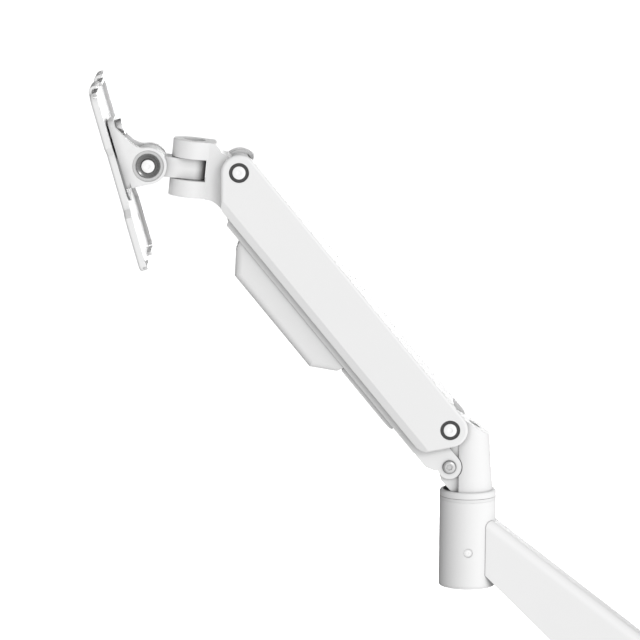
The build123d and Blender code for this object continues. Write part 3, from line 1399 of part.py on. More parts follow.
with BuildPart() as vesa_plate:
    with BuildSketch(PLATE_PLANE.offset(PLATE_FRONT)):
        with BuildLine():
            Polyline(*plate_outline(0), close=True)
        make_face()
        ends = vertices().filter_by(lambda v: abs(v.Y - PLATE_TOP) < 0.01 or abs(v.Y - PLATE_BOTTOM) < 0.01)
        fillet(ends, PLATE_CORNER)
    extrude(amount=-PLATE_DEPTH)
    front_rim = vesa_plate.faces().sort_by(Axis((0, 0, 0), tuple(PLATE_OUT)))[-1].edges()
    fillet(front_rim, 1.6)
    with BuildSketch(PLATE_PLANE.offset(web_back)):
        with BuildLine():
            Polyline(*plate_outline(-PLATE_T), close=True)
        make_face()
        ends = vertices().filter_by(
            lambda v: abs(v.Y - PLATE_TOP + PLATE_T) < 0.01 or abs(v.Y - PLATE_BOTTOM - PLATE_T) < 0.01
        )
        fillet(ends, PLATE_CORNER - PLATE_T)
    extrude(amount=-PLATE_DEPTH, mode=Mode.SUBTRACT)
    # the rim is open round the corners and in the middle of the two ends
    gap_w = PLATE_HALF_W - HOOK_OUT + 6
    with BuildSketch(PLATE_PLANE.offset(web_back)):
        for level in (PLATE_TOP, PLATE_BOTTOM):
            with Locations((0, level)):
                Rectangle(2 * HOOK_IN, 2 * PLATE_T + 1)
            for side in SIDES:
                with Locations((side * (HOOK_OUT + gap_w / 2 - 0.5), level)):
                    Rectangle(gap_w - 1, 2 * PLATE_T + 1)
    extrude(amount=-PLATE_DEPTH, mode=Mode.SUBTRACT)
    # hooks at the top: rolled back over the rim
    hook_low = PLATE_TOP + HOOK_RISE - HOOK_R
    tip_cos, tip_sin = cos(radians(HOOK_CURL)), sin(radians(HOOK_CURL))
    for side in SIDES:
        with BuildSketch(out_of(TILT_PLANE, 1, side * (HOOK_IN + HOOK_OUT) / 2)):
            with BuildLine():
                Polyline(
                    (PLATE_FRONT - HOOK_T, hook_low),
                    (PLATE_FRONT - HOOK_T, PLATE_TOP - HOOK_ROOT),
                    (PLATE_FRONT, PLATE_TOP - HOOK_ROOT),
                    (PLATE_FRONT, hook_low),
                )
                CenterArc((PLATE_FRONT - HOOK_R, hook_low), HOOK_R, 0, HOOK_CURL)
                CenterArc((PLATE_FRONT - HOOK_R, hook_low), HOOK_R - HOOK_T, 0, HOOK_CURL)
                Line(
                    (PLATE_FRONT - HOOK_R + HOOK_R * tip_cos, hook_low + HOOK_R * tip_sin),
                    (
                        PLATE_FRONT - HOOK_R + (HOOK_R - HOOK_T) * tip_cos,
                        hook_low + (HOOK_R - HOOK_T) * tip_sin,
                    ),
                )
            make_face()
        extrude(amount=(HOOK_OUT - HOOK_IN) / 2, both=True)
    with BuildSketch(PLATE_PLANE.offset(PLATE_FRONT)):
        with Locations((0, PLATE_CENTRE)):
            with GridLocations(VESA_LARGE, VESA_LARGE, 2, 2):
                Circle(VESA_HOLE_R)
            with GridLocations(VESA_SMALL, VESA_SMALL, 2, 2):
                Circle(VESA_HOLE_R)
            Circle(TURN_R + RUN_GAP)
    extrude(amount=-PLATE_DEPTH, mode=Mode.SUBTRACT)
    with BuildSketch(PLATE_PLANE.offset(PLATE_FRONT)):
        with Locations((0, PLATE_CENTRE)):
            Circle(TURN_HEAD_R + 0.2)
    extrude(amount=-(TURN_HEAD_T + 0.2), mode=Mode.SUBTRACT)
finish_part(vesa_plate, "vesa_plate")
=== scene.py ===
"""Finishes, fine shapes and studio for a desk-clamped monitor arm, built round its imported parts."""

import json
import logging
import math
from dataclasses import dataclass
from enum import Enum

import bmesh
import bpy
import numpy as np
from mathutils import Euler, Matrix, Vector


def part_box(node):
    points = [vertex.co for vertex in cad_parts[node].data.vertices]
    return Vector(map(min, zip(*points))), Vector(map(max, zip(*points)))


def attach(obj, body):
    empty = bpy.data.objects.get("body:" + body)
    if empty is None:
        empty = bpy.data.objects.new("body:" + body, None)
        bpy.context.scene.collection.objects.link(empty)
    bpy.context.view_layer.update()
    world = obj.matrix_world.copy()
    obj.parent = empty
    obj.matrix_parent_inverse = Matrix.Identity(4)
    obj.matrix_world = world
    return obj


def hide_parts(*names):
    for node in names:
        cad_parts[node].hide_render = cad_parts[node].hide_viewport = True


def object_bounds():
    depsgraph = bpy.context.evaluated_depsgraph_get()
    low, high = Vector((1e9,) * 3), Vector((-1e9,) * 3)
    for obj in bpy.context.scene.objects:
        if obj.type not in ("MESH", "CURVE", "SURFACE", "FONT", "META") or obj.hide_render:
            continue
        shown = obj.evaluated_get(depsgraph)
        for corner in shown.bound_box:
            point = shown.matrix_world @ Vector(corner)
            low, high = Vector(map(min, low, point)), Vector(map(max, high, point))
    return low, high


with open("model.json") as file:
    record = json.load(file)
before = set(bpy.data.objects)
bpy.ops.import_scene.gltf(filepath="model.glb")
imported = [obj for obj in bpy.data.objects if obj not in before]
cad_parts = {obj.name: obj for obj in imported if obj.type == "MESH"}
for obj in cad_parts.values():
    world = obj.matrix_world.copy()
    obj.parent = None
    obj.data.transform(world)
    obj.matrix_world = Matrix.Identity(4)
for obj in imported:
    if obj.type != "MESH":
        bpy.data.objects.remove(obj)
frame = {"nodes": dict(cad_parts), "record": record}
CAD_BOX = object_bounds()
MM = 0.001
log = logging.getLogger("monitor_arm")


class Axis(Enum):
    """The direction that a turned or drawn part runs in."""

    X = (1.0, 0.0, 0.0)
    Y = (0.0, 1.0, 0.0)
    Z = (0.0, 0.0, 1.0)


# ---------------------------------------------------------------- shader maths


class Value:
    """A shader socket that takes part in Python arithmetic; each operation adds one Math node."""

    def __init__(self, graph: "Graph", socket: bpy.types.NodeSocket) -> None:
        """Keeps the socket and the graph that it belongs to."""
        self.graph = graph
        self.socket = socket

    def _math(self, operation: str, first: object, second: object) -> "Value":
        """Adds one Math node.

        Args:
            operation: the Math node's operation.
            first: its first input, a number or a Value.
            second: its second input, a number or a Value.

        Returns:
            The node's result.
        """
        return self.graph.node("ShaderNodeMath", {"operation": operation}, {0: first, 1: second})

    def __add__(self, other: object) -> "Value":
        """This plus other."""
        return self._math("ADD", self, other)

    def __radd__(self, other: object) -> "Value":
        """Other plus this."""
        return self._math("ADD", other, self)

    def __sub__(self, other: object) -> "Value":
        """This less other."""
        return self._math("SUBTRACT", self, other)

    def __rsub__(self, other: object) -> "Value":
        """Other less this."""
        return self._math("SUBTRACT", other, self)

    def __mul__(self, other: object) -> "Value":
        """This times other."""
        return self._math("MULTIPLY", self, other)

    def __rmul__(self, other: object) -> "Value":
        """Other times this."""
        return self._math("MULTIPLY", other, self)


class Graph:
    """The node tree of one material, with one method that adds any node."""

    def __init__(self, name: str, world: bpy.types.World | None = None) -> None:
        """Empties a new material, or the given world, and adds its output and coordinates.

        Args:
            name: the material's name.
            world: a world to fill in place of a material.
        """
        self.owner = world or bpy.data.materials.new(name)
        self.owner.use_nodes = True
        self.tree = self.owner.node_tree
        self.tree.nodes.clear()
        kind = "ShaderNodeOutputWorld" if world else "ShaderNodeOutputMaterial"
        self.output = self.tree.nodes.new(kind)
        self.place = self.node("ShaderNodeTexCoord", {}, {}, "Generated" if world else "Object")

    def node(self, kind: str, settings: dict, sockets: dict, out: object = 0) -> Value:
        """Adds a node, sets it, then fills its sockets.

        Args:
            kind: the node's type.
            settings: attributes of the node; "stops" holds a ramp's (position, grey) pairs.
            sockets: values or Values by input name or number.
            out: the name or number of the output wanted.

        Returns:
            That output.
        """
        made = self.tree.nodes.new(kind)
        for key, value in settings.items():
            if key == "stops":
                self._fill_ramp(made.color_ramp, value)
            else:
                setattr(made, key, value)
        for key, value in sockets.items():
            if isinstance(value, Value):
                self.tree.links.new(value.socket, made.inputs[key])
            else:
                made.inputs[key].default_value = value
        return Value(self, made.outputs[out])

    @staticmethod
    def _fill_ramp(ramp: bpy.types.ColorRamp, stops: list) -> None:
        """Gives a ramp its stops.

        Args:
            ramp: the ramp.
            stops: (position, grey) pairs, two or more.
        """
        for place, _ in stops[2:]:
            ramp.elements.new(place)
        for element, (place, grey) in zip(ramp.elements, stops):
            element.position = place
            element.color = (grey, grey, grey, 1.0)

    def scaled(self, stretch: tuple) -> Value:
        """Stretches the coordinates.

        Args:
            stretch: multiplies them along X, Y and Z.

        Returns:
            The stretched coordinates.
        """
        return self.node("ShaderNodeMapping", {}, {"Vector": self.place, "Scale": stretch})

    def noise(self, scale: float, detail: float = 3.0, stretch: tuple = (1.0, 1.0, 1.0)) -> Value:
        """A noise of 0 to 1, with so many features to a metre.

        Args:
            scale: features to a metre.
            detail: octaves of finer noise.
            stretch: multiplies the coordinates along each axis.

        Returns:
            The noise.
        """
        inputs = {"Vector": self.scaled(stretch), "Scale": scale, "Detail": detail, "Roughness": 0.55}
        return self.node("ShaderNodeTexNoise", {}, inputs, 0)

    def cells(self, scale: float) -> Value:
        """Cells round scattered points.

        Args:
            scale: points to a metre.

        Returns:
            The distance to the nearest point.
        """
        return self.node("ShaderNodeTexVoronoi", {}, {"Vector": self.place, "Scale": scale}, "Distance")

    def ramp(self, value: Value, *stops: tuple) -> Value:
        """Reads a value through a ramp.

        Args:
            value: the value.
            *stops: (position, grey) pairs.

        Returns:
            The ramp's grey.
        """
        return self.node("ShaderNodeValToRGB", {"stops": list(stops)}, {"Fac": value})

    def blend(self, share: object, first: object, second: object) -> Value:
        """Mixes two colours.

        Args:
            share: 0 for the first colour, 1 for the second.
            first: the first colour.
            second: the second colour.

        Returns:
            The mixed colour.
        """
        sockets = {0: share, 6: first, 7: second}
        return self.node("ShaderNodeMix", {"data_type": "RGBA"}, sockets, 2)

    def seams(self, reach: float, strength: float) -> Value:
        """Painted shade, with a little dirt, that darkens the colour in joints and corners where pieces
        meet.

        Args:
            reach: how far from another face they start, in metres.
            strength: how far the result falls in the tightest corner.

        Returns:
            One in the open, less in joints and corners.
        """
        open_share = self.node("ShaderNodeAmbientOcclusion", {"samples": 8}, {"Distance": reach}, "AO")
        return 1.0 - (1.0 - open_share) * strength

    def softened(self, radius: float) -> Value:
        """Rounds every sharp edge in the shading.

        Args:
            radius: the rounding's radius, in metres.

        Returns:
            The surface normal.
        """
        return self.node("ShaderNodeBevel", {"samples": 6}, {"Radius": radius}, "Normal")

    def bump(self, height: Value, strength: float, depth: float, edge: float) -> Value:
        """A normal from a height map on top of softened edges.

        Args:
            height: the height, 0 to 1.
            strength: how much of it shows.
            depth: the height of 1, in metres.
            edge: the radius of the softened edges, in metres.

        Returns:
            The normal.
        """
        sockets = {"Height": height, "Strength": strength, "Distance": depth, "Normal": self.softened(edge)}
        return self.node("ShaderNodeBump", {}, sockets, "Normal")

    def surface(self, **sockets: object) -> bpy.types.Material:
        """Ends the graph in a Principled shader.

        Args:
            **sockets: the shader's inputs by name, with underscores for spaces.

        Returns:
            The finished material.
        """
        named = {key.replace("_", " "): value for key, value in sockets.items()}
        shader = self.node("ShaderNodeBsdfPrincipled", {}, named)
        self.tree.links.new(shader.socket, self.output.inputs["Surface"])
        return self.owner


def grey(level: float, warm: float = 0.0) -> tuple:
    """An opaque grey.

    Args:
        level: its brightness.
        warm: above 0 for warmer, below 0 for cooler.

    Returns:
        The colour.
    """
    return (level * (1 + warm), level, level * (1 - warm), 1.0)


# ---------------------------------------------------------------- finishes


@dataclass(frozen=True)
class PowderCoat:
    """Satin powder coat: an even colour with fine orange peel, softly rounded edges and painted shade in
    joints and corners.
    """

    name: str = "white_powder_coat"
    level: float = 0.87
    shade: float = 0.03
    rough: float = 0.42
    peel: float = 1500.0
    peel_depth: float = 0.00003
    edge: float = 0.0007
    seam: float = 0.008

    def material(self) -> bpy.types.Material:
        """Builds the finish.

        Returns:
            The finish as a material.
        """
        g = Graph(self.name)
        cloud = g.noise(28.0, 2.0)
        peel = g.noise(self.peel, 2.0)
        speck = g.ramp(g.noise(5200.0, 1.0), (0.30, 0.0), (0.62, 1.0))
        coat = g.blend(cloud * 0.5 + speck * 0.5, grey(self.level - self.shade), grey(self.level))
        # Painted shade: the coat's colour falls towards a quarter of its grey in joints and corners, where
        # pieces meet.
        colour = g.blend(g.seams(self.seam, 0.9), grey(self.level * 0.25), coat)
        rough = self.rough - 0.05 + peel * 0.06 + cloud * 0.05
        normal = g.bump(peel * 0.8 + speck * 0.2, 0.35, self.peel_depth, self.edge)
        return g.surface(Base_Color=colour, Roughness=rough, Normal=normal, Specular_IOR_Level=0.45)


@dataclass(frozen=True)
class MouldedPlastic:
    """Injection-moulded plastic with a fine spark-eroded texture and painted shade in joints and corners.
    """

    name: str
    level: float
    rough: float = 0.5
    pits: float = 2600.0
    pit_depth: float = 0.00004
    edge: float = 0.0005
    warm: float = 0.0
    seam: float = 0.005

    def material(self) -> bpy.types.Material:
        """Builds the finish.

        Returns:
            The finish as a material.
        """
        g = Graph(self.name)
        pits = g.cells(self.pits)
        flow = g.noise(40.0, 3.0)
        shade = g.blend(flow, grey(self.level * 0.96, self.warm), grey(self.level, self.warm))
        # Painted shade: the plastic's colour falls towards a quarter of its grey in joints and corners,
        # where pieces meet.
        colour = g.blend(g.seams(self.seam, 0.9), grey(self.level * 0.25), shade)
        rough = self.rough - 0.06 + pits * 0.12 + flow * 0.04
        normal = g.bump(pits * 0.7 + g.noise(self.pits * 1.7, 1.0) * 0.3, 0.5, self.pit_depth, self.edge)
        return g.surface(Base_Color=colour, Roughness=rough, Normal=normal, Specular_IOR_Level=0.4)


@dataclass(frozen=True)
class Rubber:
    """Matt black rubber with a cloudy bloom and a coarse moulded skin."""

    name: str = "black_rubber_skin"
    level: float = 0.035
    grain: float = 1400.0

    def material(self) -> bpy.types.Material:
        """Builds the finish.

        Returns:
            The finish as a material.
        """
        g = Graph(self.name)
        bloom = g.ramp(g.noise(60.0, 4.0), (0.35, 0.0), (0.75, 1.0))
        grain = g.noise(self.grain, 3.0)
        colour = g.blend(bloom, grey(self.level), grey(self.level * 1.9))
        normal = g.bump(grain, 0.6, 0.00008, 0.0004)
        rough = 0.74 + grain * 0.2
        return g.surface(Base_Color=colour, Roughness=rough, Normal=normal, Specular_IOR_Level=0.3)


@dataclass(frozen=True)
class PlatedSteel:
    """Plated steel with lathe or drawing marks along one axis, faint cloudy staining and painted shade in
    joints and corners.
    """

    name: str
    level: float
    rough: float
    axis: Axis = Axis.Y
    marks: float = 2200.0
    mark_depth: float = 0.000012
    warm: float = 0.0
    seam: float = 0.004

    def material(self) -> bpy.types.Material:
        """Builds the finish: marks are a noise drawn out across the axis.

        Returns:
            The finish as a material.
        """
        g = Graph(self.name)
        across = tuple(1.0 if part else 0.06 for part in self.axis.value)
        marks = g.noise(self.marks, 2.0, across)
        stain = g.noise(160.0, 4.0)
        dark = grey(self.level * 0.86, self.warm)
        plate = g.blend(stain * 0.6 + marks * 0.4, dark, grey(self.level, self.warm))
        # Painted shade: the plate's colour falls towards 15 per cent of its grey in joints and corners,
        # where pieces meet.
        colour = g.blend(g.seams(self.seam, 0.9), grey(self.level * 0.15, self.warm), plate)
        rough = self.rough - 0.06 + marks * 0.1 + stain * 0.06
        normal = g.bump(marks, 0.4, self.mark_depth, 0.0003)
        return g.surface(Base_Color=colour, Metallic=1.0, Roughness=rough, Normal=normal)


@dataclass(frozen=True)
class BlackEnamel:
    """Glossy black enamel on a drawn tube."""

    name: str = "black_enamel"
    level: float = 0.018

    def material(self) -> bpy.types.Material:
        """Builds the finish.

        Returns:
            The finish as a material.
        """
        g = Graph(self.name)
        wave = g.noise(300.0, 2.0)
        dust = g.ramp(g.noise(4200.0, 2.0), (0.66, 0.0), (0.74, 1.0))
        colour = g.blend(dust * 0.25, grey(self.level), grey(0.12))
        normal = g.bump(wave, 0.3, 0.00004, 0.0004)
        return g.surface(Base_Color=colour, Roughness=0.2 + dust * 0.2 + wave * 0.05, Normal=normal)


@dataclass(frozen=True)
class Finishes:
    """Every finish of the arm, by the record's slot names."""

    white_paint: object = PowderCoat()
    white_plastic: object = MouldedPlastic("white_moulding", 0.82, 0.46)
    grey_plastic: object = MouldedPlastic("grey_bearing_plastic", 0.36, 0.42, warm=-0.01)
    dark_plastic: object = MouldedPlastic("black_moulding", 0.10, 0.42)
    black_rubber: object = Rubber()
    zinc_steel: object = PlatedSteel("zinc_plate", 0.66, 0.3, Axis.Y)
    bright_steel: object = PlatedSteel("bright_plate", 0.82, 0.1, Axis.Z, mark_depth=0.000004)
    black_steel: object = BlackEnamel()
    brass: object = PlatedSteel("turned_brass", 0.55, 0.28, Axis.X, warm=0.28)


class Palette:
    """Makes each finish's material once and gives it to nodes and pieces."""

    def __init__(self, finishes: Finishes) -> None:
        """Keeps the finishes and an empty shelf of materials."""
        self.finishes = finishes
        self.made: dict = {}

    def of(self, slot: str) -> bpy.types.Material:
        """Finds or makes the material of a slot.

        Args:
            slot: the record's slot name.

        Returns:
            The material.
        """
        if slot not in self.made:
            self.made[slot] = getattr(self.finishes, slot).material()
        return self.made[slot]

    def own(self, finish: object) -> bpy.types.Material:
        """Finds or makes the material of a finish that only some pieces have.

        Args:
            finish: the finish.

        Returns:
            The material.
        """
        if finish not in self.made:
            self.made[finish] = finish.material()
        return self.made[finish]


def dress(node: bpy.types.Object, material: bpy.types.Material) -> None:
    """Puts one material on every slot of a node.

    Args:
        node: the node's object.
        material: the material.
    """
    if not node.material_slots:
        node.data.materials.append(material)
    for holder in node.material_slots:
        holder.material = material


# ---------------------------------------------------------------- studio


@dataclass
class Studio:
    """White floor, soft light all round and a long-lens camera that looks slightly down."""

    aim: Vector = Vector((-0.346, 0.0, 0.4062))
    distance: float = 3.1007
    pitch: float = 9.294
    roll: float = 0.449
    lens: float = 247.0
    floor_z: float = 0.0
    floor_reach: float = 30.0
    sky_base: float = 0.76
    key_direction: tuple = (0.6, -0.6, -0.12)
    backdrop: float = 1.6
    panels: tuple = (("key", (1.2, -2.2, 1.1), 0.5, 9.0), ("fill", (0.2, 2.3, -0.1), 1.0, 14.0))

    def camera(self) -> None:
        """Stands the camera back from its aim along the pitched line of sight."""
        data = bpy.data.cameras.new("camera")
        data.lens = self.lens
        data.clip_end = 200.0
        camera = bpy.data.objects.new("camera", data)
        pitch = math.radians(self.pitch)
        away = Vector((0.0, -math.cos(pitch), math.sin(pitch)))
        camera.location = self.aim + away * self.distance
        turn = Euler((math.radians(90.0) - pitch, 0.0, 0.0)).to_matrix()
        spin = Euler((0.0, 0.0, math.radians(self.roll))).to_matrix()
        camera.rotation_euler = (turn @ spin).to_euler()
        bpy.context.scene.collection.objects.link(camera)
        bpy.context.scene.camera = camera

    def floor(self) -> None:
        """Lays a pale floor below the clamp, bright enough to run into the backdrop."""
        reach = self.floor_reach
        corners = [(-reach, -reach), (reach, -reach), (reach, reach), (-reach, reach)]
        mesh = bpy.data.meshes.new("floor")
        mesh.from_pydata([(x, y, self.floor_z) for x, y in corners], [], [(0, 1, 2, 3)])
        floor = bpy.data.objects.new("floor", mesh)
        g = Graph("pale_floor")
        cloud = g.noise(0.6, 2.0)
        tint = g.blend(cloud, grey(0.88), grey(0.9))
        glow = {"Emission_Color": grey(1.0), "Emission_Strength": 0.7}
        dress(floor, g.surface(Base_Color=tint, Roughness=0.9, **glow))
        floor.visible_diffuse = False
        floor.visible_glossy = False
        bpy.context.scene.collection.objects.link(floor)

    def panel(self, name: str, place: tuple, size: float, power: float) -> None:
        """Hangs a square soft light that faces the arm.

        Args:
            name: the light's name.
            place: where it hangs from the aim, in metres.
            size: its side, in metres.
            power: its power in watts.
        """
        data = bpy.data.lights.new(name, "AREA")
        data.size = size
        data.energy = power
        lamp = bpy.data.objects.new(name, data)
        offset = Vector(place)
        lamp.location = self.aim + offset
        lamp.rotation_euler = offset.to_track_quat("Z", "Y").to_euler()
        bpy.context.scene.collection.objects.link(lamp)

    def light(self) -> None:
        """Soft light all round, strongest from the front and the right, weakest from the left and behind.

        The light from a direction is a base plus the direction's dot product with a fixed vector,
        never below a small floor; the camera itself sees plain white.
        """
        world = Graph("studio", bpy.data.worlds.new("studio"))
        slope = {"operation": "DOT_PRODUCT"}
        toward = world.node("ShaderNodeVectorMath", slope, {0: world.place, 1: self.key_direction}, "Value")
        sky = world.node("ShaderNodeMath", {"operation": "MAXIMUM"}, {0: toward + self.sky_base, 1: 0.0})
        seen = world.node("ShaderNodeLightPath", {}, {}, "Is Camera Ray")
        strength = sky + seen * (self.backdrop - sky)
        glow = world.node("ShaderNodeBackground", {}, {"Strength": strength})
        world.tree.links.new(glow.socket, world.output.inputs["Surface"])
        bpy.context.scene.world = world.owner
        bpy.context.scene.view_settings.view_transform = "Standard"
        for panel in self.panels:
            self.panel(*panel)

    def build(self) -> None:
        """Sets up the whole studio."""
        self.camera()
        self.floor()
        self.light()


# ---------------------------------------------------------------- fine shapes


def sheet_of(name: str, points: np.ndarray, crease: float = 35.0) -> bpy.types.Object:
    """Turns a grid of points into a closed smooth piece.

    Row i holds points round the shape and joins on itself; rows follow one another along it.
    Points that fall together at a pole are merged, and faces are turned outwards.

    Args:
        name: the piece's name.
        points: an array of rows, points in a row, and coordinates in metres.
        crease: the angle in degrees past which an edge stays sharp.

    Returns:
        The piece, at the origin.
    """
    rows, around, _ = points.shape
    index = np.arange(rows * around).reshape(rows, around)
    beside = np.roll(index, -1, axis=1)
    quads = np.stack([index[:-1], beside[:-1], beside[1:], index[1:]], axis=-1).reshape(-1, 4)
    mesh = bpy.data.meshes.new(name)
    mesh.from_pydata(points.reshape(-1, 3).tolist(), [], quads.tolist())
    work = bmesh.new()
    work.from_mesh(mesh)
    bmesh.ops.remove_doubles(work, verts=work.verts, dist=1e-7)
    bmesh.ops.recalc_face_normals(work, faces=work.faces)
    work.to_mesh(mesh)
    work.free()
    mesh.shade_smooth()
    mesh.set_sharp_from_angle(angle=math.radians(crease))
    piece = bpy.data.objects.new(name, mesh)
    bpy.context.scene.collection.objects.link(piece)
    return piece


def turned(profile: list, origin: Vector, axis: Vector, around: int = 96) -> np.ndarray:
    """Points of a turned shape: each profile point goes round the axis at its own radius.

    Args:
        profile: (height along the axis, radius) pairs in millimetres, in order.
        origin: the point of height 0.
        axis: the unit axis.
        around: points in one turn.

    Returns:
        The grid of points in metres.
    """
    height, radius = np.array(profile, float).T * MM
    side = axis.orthogonal().normalized()
    other = axis.cross(side)
    angle = np.arange(around) * (2.0 * np.pi / around)
    ring = np.outer(np.cos(angle), side) + np.outer(np.sin(angle), other)
    middle = np.array(origin) + height[:, None] * np.array(axis)
    return middle[:, None, :] + radius[:, None, None] * ring[None, :, :]


def arc(centre: tuple, radius: float, start: float, end: float, steps: int = 8) -> list:
    """Profile points round an arc.

    Args:
        centre: the arc's centre, as (height, radius) in millimetres.
        radius: the arc's own radius in millimetres.
        start: the first angle in degrees, from the height axis towards the radius.
        end: the last angle in degrees.
        steps: the number of points.

    Returns:
        (height, radius) pairs.
    """
    angle = np.radians(np.linspace(start, end, steps))
    return [(centre[0] + radius * math.cos(a), centre[1] + radius * math.sin(a)) for a in angle]


@dataclass
class SubAssembly:
    """A group of nodes that is dressed together, with the fine pieces that belong to it."""

    palette: Palette
    nodes: tuple = ()

    def dress_nodes(self) -> None:
        """Gives every node of the group its finish."""
        slots = {row["node"]: row["material_slot"] for row in frame["record"]["subparts"]}
        for name in self.nodes:
            dress(frame["nodes"][name], self.palette.of(slots[name]))
            log.info("%s: %s", name, slots[name])

    def add(self, piece: bpy.types.Object, body: str, slot: str, finish: object = None) -> None:
        """Dresses a new piece and puts it on its body.

        Args:
            piece: the piece.
            body: the body that it rides on.
            slot: the record's slot that it takes its finish from.
            finish: a finish of its own, where the slot's is not enough.
        """
        dress(piece, self.palette.own(finish) if finish else self.palette.of(slot))
        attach(piece, body)
        log.info("%s: new piece on %s", piece.name, body)

    def build(self) -> None:
        """Dresses the nodes; groups with pieces of their own add them."""
        self.dress_nodes()


@dataclass
class DeskClamp(SubAssembly):
    """The pad, screw and knob under the desk."""

    nodes: tuple = ("clamp_pad", "clamp_pad_rubber", "clamp_screw", "clamp_knob")
    pitch: float = 3.0
    thread_depth: float = 1.1
    rows_per_turn: int = 12
    lobes: int = 6
    lobe: float = 2.4
    round_edge: float = 3.0
    rib_count: int = 5
    rib_depth: float = 0.5

    def screw(self) -> bpy.types.Object:
        """A rod whose radius dips by a rounded wave of height along the axis less turn about it.

        Returns:
            The threaded rod.
        """
        low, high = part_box("clamp_screw")
        radius = (high.x - low.x) / 2 / MM
        length = (high.z - low.z) / MM
        rows = int(length / self.pitch * self.rows_per_turn)
        height = np.linspace(0.0, length, rows)[:, None]
        angle = (np.arange(48) * (2.0 * np.pi / 48))[None, :]
        phase = (height / self.pitch - angle / (2.0 * np.pi)) * 2.0 * np.pi
        dip = np.clip(0.5 + 0.9 * np.sin(phase), 0.0, 1.0)
        end = np.clip(np.minimum(height, length - height) / 1.0, 0.0, 1.0)
        reach = radius - self.thread_depth * np.maximum(dip, 1.0 - end)
        rise = np.broadcast_to(height, reach.shape)
        grid = np.stack([reach * np.cos(angle), reach * np.sin(angle), rise], axis=-1) * MM
        middle = grid.mean(axis=1, keepdims=True)
        middle[:, :, :2] = 0.0
        lid = np.broadcast_to(middle, grid.shape)
        grid = np.concatenate([lid[:1], grid, lid[-1:]]) + np.array([0.0, 0.0, low.z])
        return sheet_of("clamp_screw_thread", grid, 60.0)

    def knob(self) -> bpy.types.Object:
        """A lobed grip: radius plus a cosine of the turn, rounded at both ends, dished below.

        Returns:
            The grip.
        """
        low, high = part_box("clamp_knob")
        tall = (high.z - low.z) / MM
        outer = (high.x - low.x) / 2 / MM
        base = outer - self.lobe
        turn = np.radians(np.linspace(0.0, 90.0, 9))
        edge = self.round_edge
        rise = np.concatenate([edge - edge * np.cos(turn), tall - edge + edge * np.sin(turn)])
        inset = np.concatenate([edge - edge * np.sin(turn), edge - edge * np.cos(turn)])
        rise = np.concatenate([[1.6, 1.6, 0.6], rise, [tall - 0.6, tall - 0.6]])
        inset = np.concatenate([[base, base - 9.0, base - 10.5], inset, [base - 7.5, base]])
        angle = np.arange(192) * (2.0 * np.pi / 192)
        wave = self.lobe * np.cos(self.lobes * angle)
        share = np.clip(1.0 - inset / base * 1.3, 0.0, 1.0)
        reach = (base - inset)[:, None] + share[:, None] * wave[None, :]
        up = np.broadcast_to(rise[:, None], reach.shape)
        grid = np.stack([reach * np.cos(angle), reach * np.sin(angle), up], axis=-1) * MM
        return sheet_of("clamp_knob_grip", grid + np.array([0.0, 0.0, low.z]))

    def pad(self) -> bpy.types.Object:
        """A rubber disc whose upper face falls between ribs by a sharpened cosine of the radius.

        Returns:
            The ribbed disc.
        """
        low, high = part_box("clamp_pad_rubber")
        radius = (high.x - low.x) / 2 / MM
        thick = (high.z - low.z) / MM
        reach = np.linspace(radius - 0.8, 0.0, 20 * self.rib_count)
        wave = 0.5 - 0.5 * np.cos(reach / radius * 2 * np.pi * self.rib_count)
        ribs = thick - self.rib_depth * wave**3
        top = [(float(h), float(r)) for h, r in zip(ribs, reach)]
        profile = [(0.0, 0.0), (0.0, radius)] + arc((thick - 0.8, radius - 0.8), 0.8, 90.0, 0.0) + top
        origin = Vector((0.0, 0.0, low.z))
        return sheet_of("clamp_pad_ribs", turned(profile, origin, Vector((0.0, 0.0, 1.0)), 128))

    def build(self) -> None:
        """Dresses the clamp and puts in its thread, grip and ribs."""
        self.dress_nodes()
        thread, grip, ribs = self.screw(), self.knob(), self.pad()
        self.add(thread, "clamp_screw", "zinc_steel")
        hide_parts("clamp_screw")
        self.add(grip, "clamp_screw", "dark_plastic")
        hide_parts("clamp_knob")
        self.add(ribs, "clamp_pad", "black_rubber")
        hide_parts("clamp_pad_rubber")


@dataclass
class Base(SubAssembly):
    """The foot, post and bracket that stay on the desk."""

    nodes: tuple = (
        "base_foot", "base_pad", "base_post", "post_screw",
        "clamp_bracket", "bracket_screws", "base_washer", "hub_screw",
    )


@dataclass
class LowerArm(SubAssembly):
    """The hub, beam and elbow sleeve."""

    nodes: tuple = (
        "base_hub", "base_bushes", "hub_cap", "lower_arm_beam", "beam_screws", "lower_arm_cover",
        "elbow_sleeve", "elbow_upper_bush", "elbow_lower_bush", "sleeve_end_cap", "friction_screw",
        "brake_shoe",
    )


@dataclass(frozen=True)
class CapGloss:
    """Bright white glossy cap."""

    name: str = "bright_white_cap"
    level: float = 0.97

    def material(self) -> bpy.types.Material:
        """Builds the finish.

        Returns:
            The finish as a material.
        """
        g = Graph(self.name)
        flow = g.noise(400.0, 2.0)
        colour = g.blend(flow, grey(self.level - 0.02), grey(self.level))
        normal = g.bump(flow, 0.2, 0.00002, 0.0002)
        return g.surface(Base_Color=colour, Roughness=0.16 + flow * 0.08, Normal=normal, Coat_Weight=0.3)


@dataclass(frozen=True)
class DarkPlate:
    """Dark nickel on a pressed washer, with cloudy staining and a fine grain."""

    name: str = "dark_nickel"
    level: float = 0.24

    def material(self) -> bpy.types.Material:
        """Builds the finish.

        Returns:
            The finish as a material.
        """
        g = Graph(self.name)
        stain = g.noise(500.0, 3.0)
        fine = g.noise(3000.0, 2.0)
        plate = g.blend(stain, grey(self.level * 0.7), grey(self.level))
        # Painted shade: the nickel's colour falls towards 15 per cent of its grey in joints and corners,
        # where pieces meet.
        colour = g.blend(g.seams(0.004, 0.9), grey(self.level * 0.15), plate)
        normal = g.bump(fine, 0.3, 0.00001, 0.0002)
        return g.surface(Base_Color=colour, Metallic=1.0, Roughness=0.2 + stain * 0.12, Normal=normal)


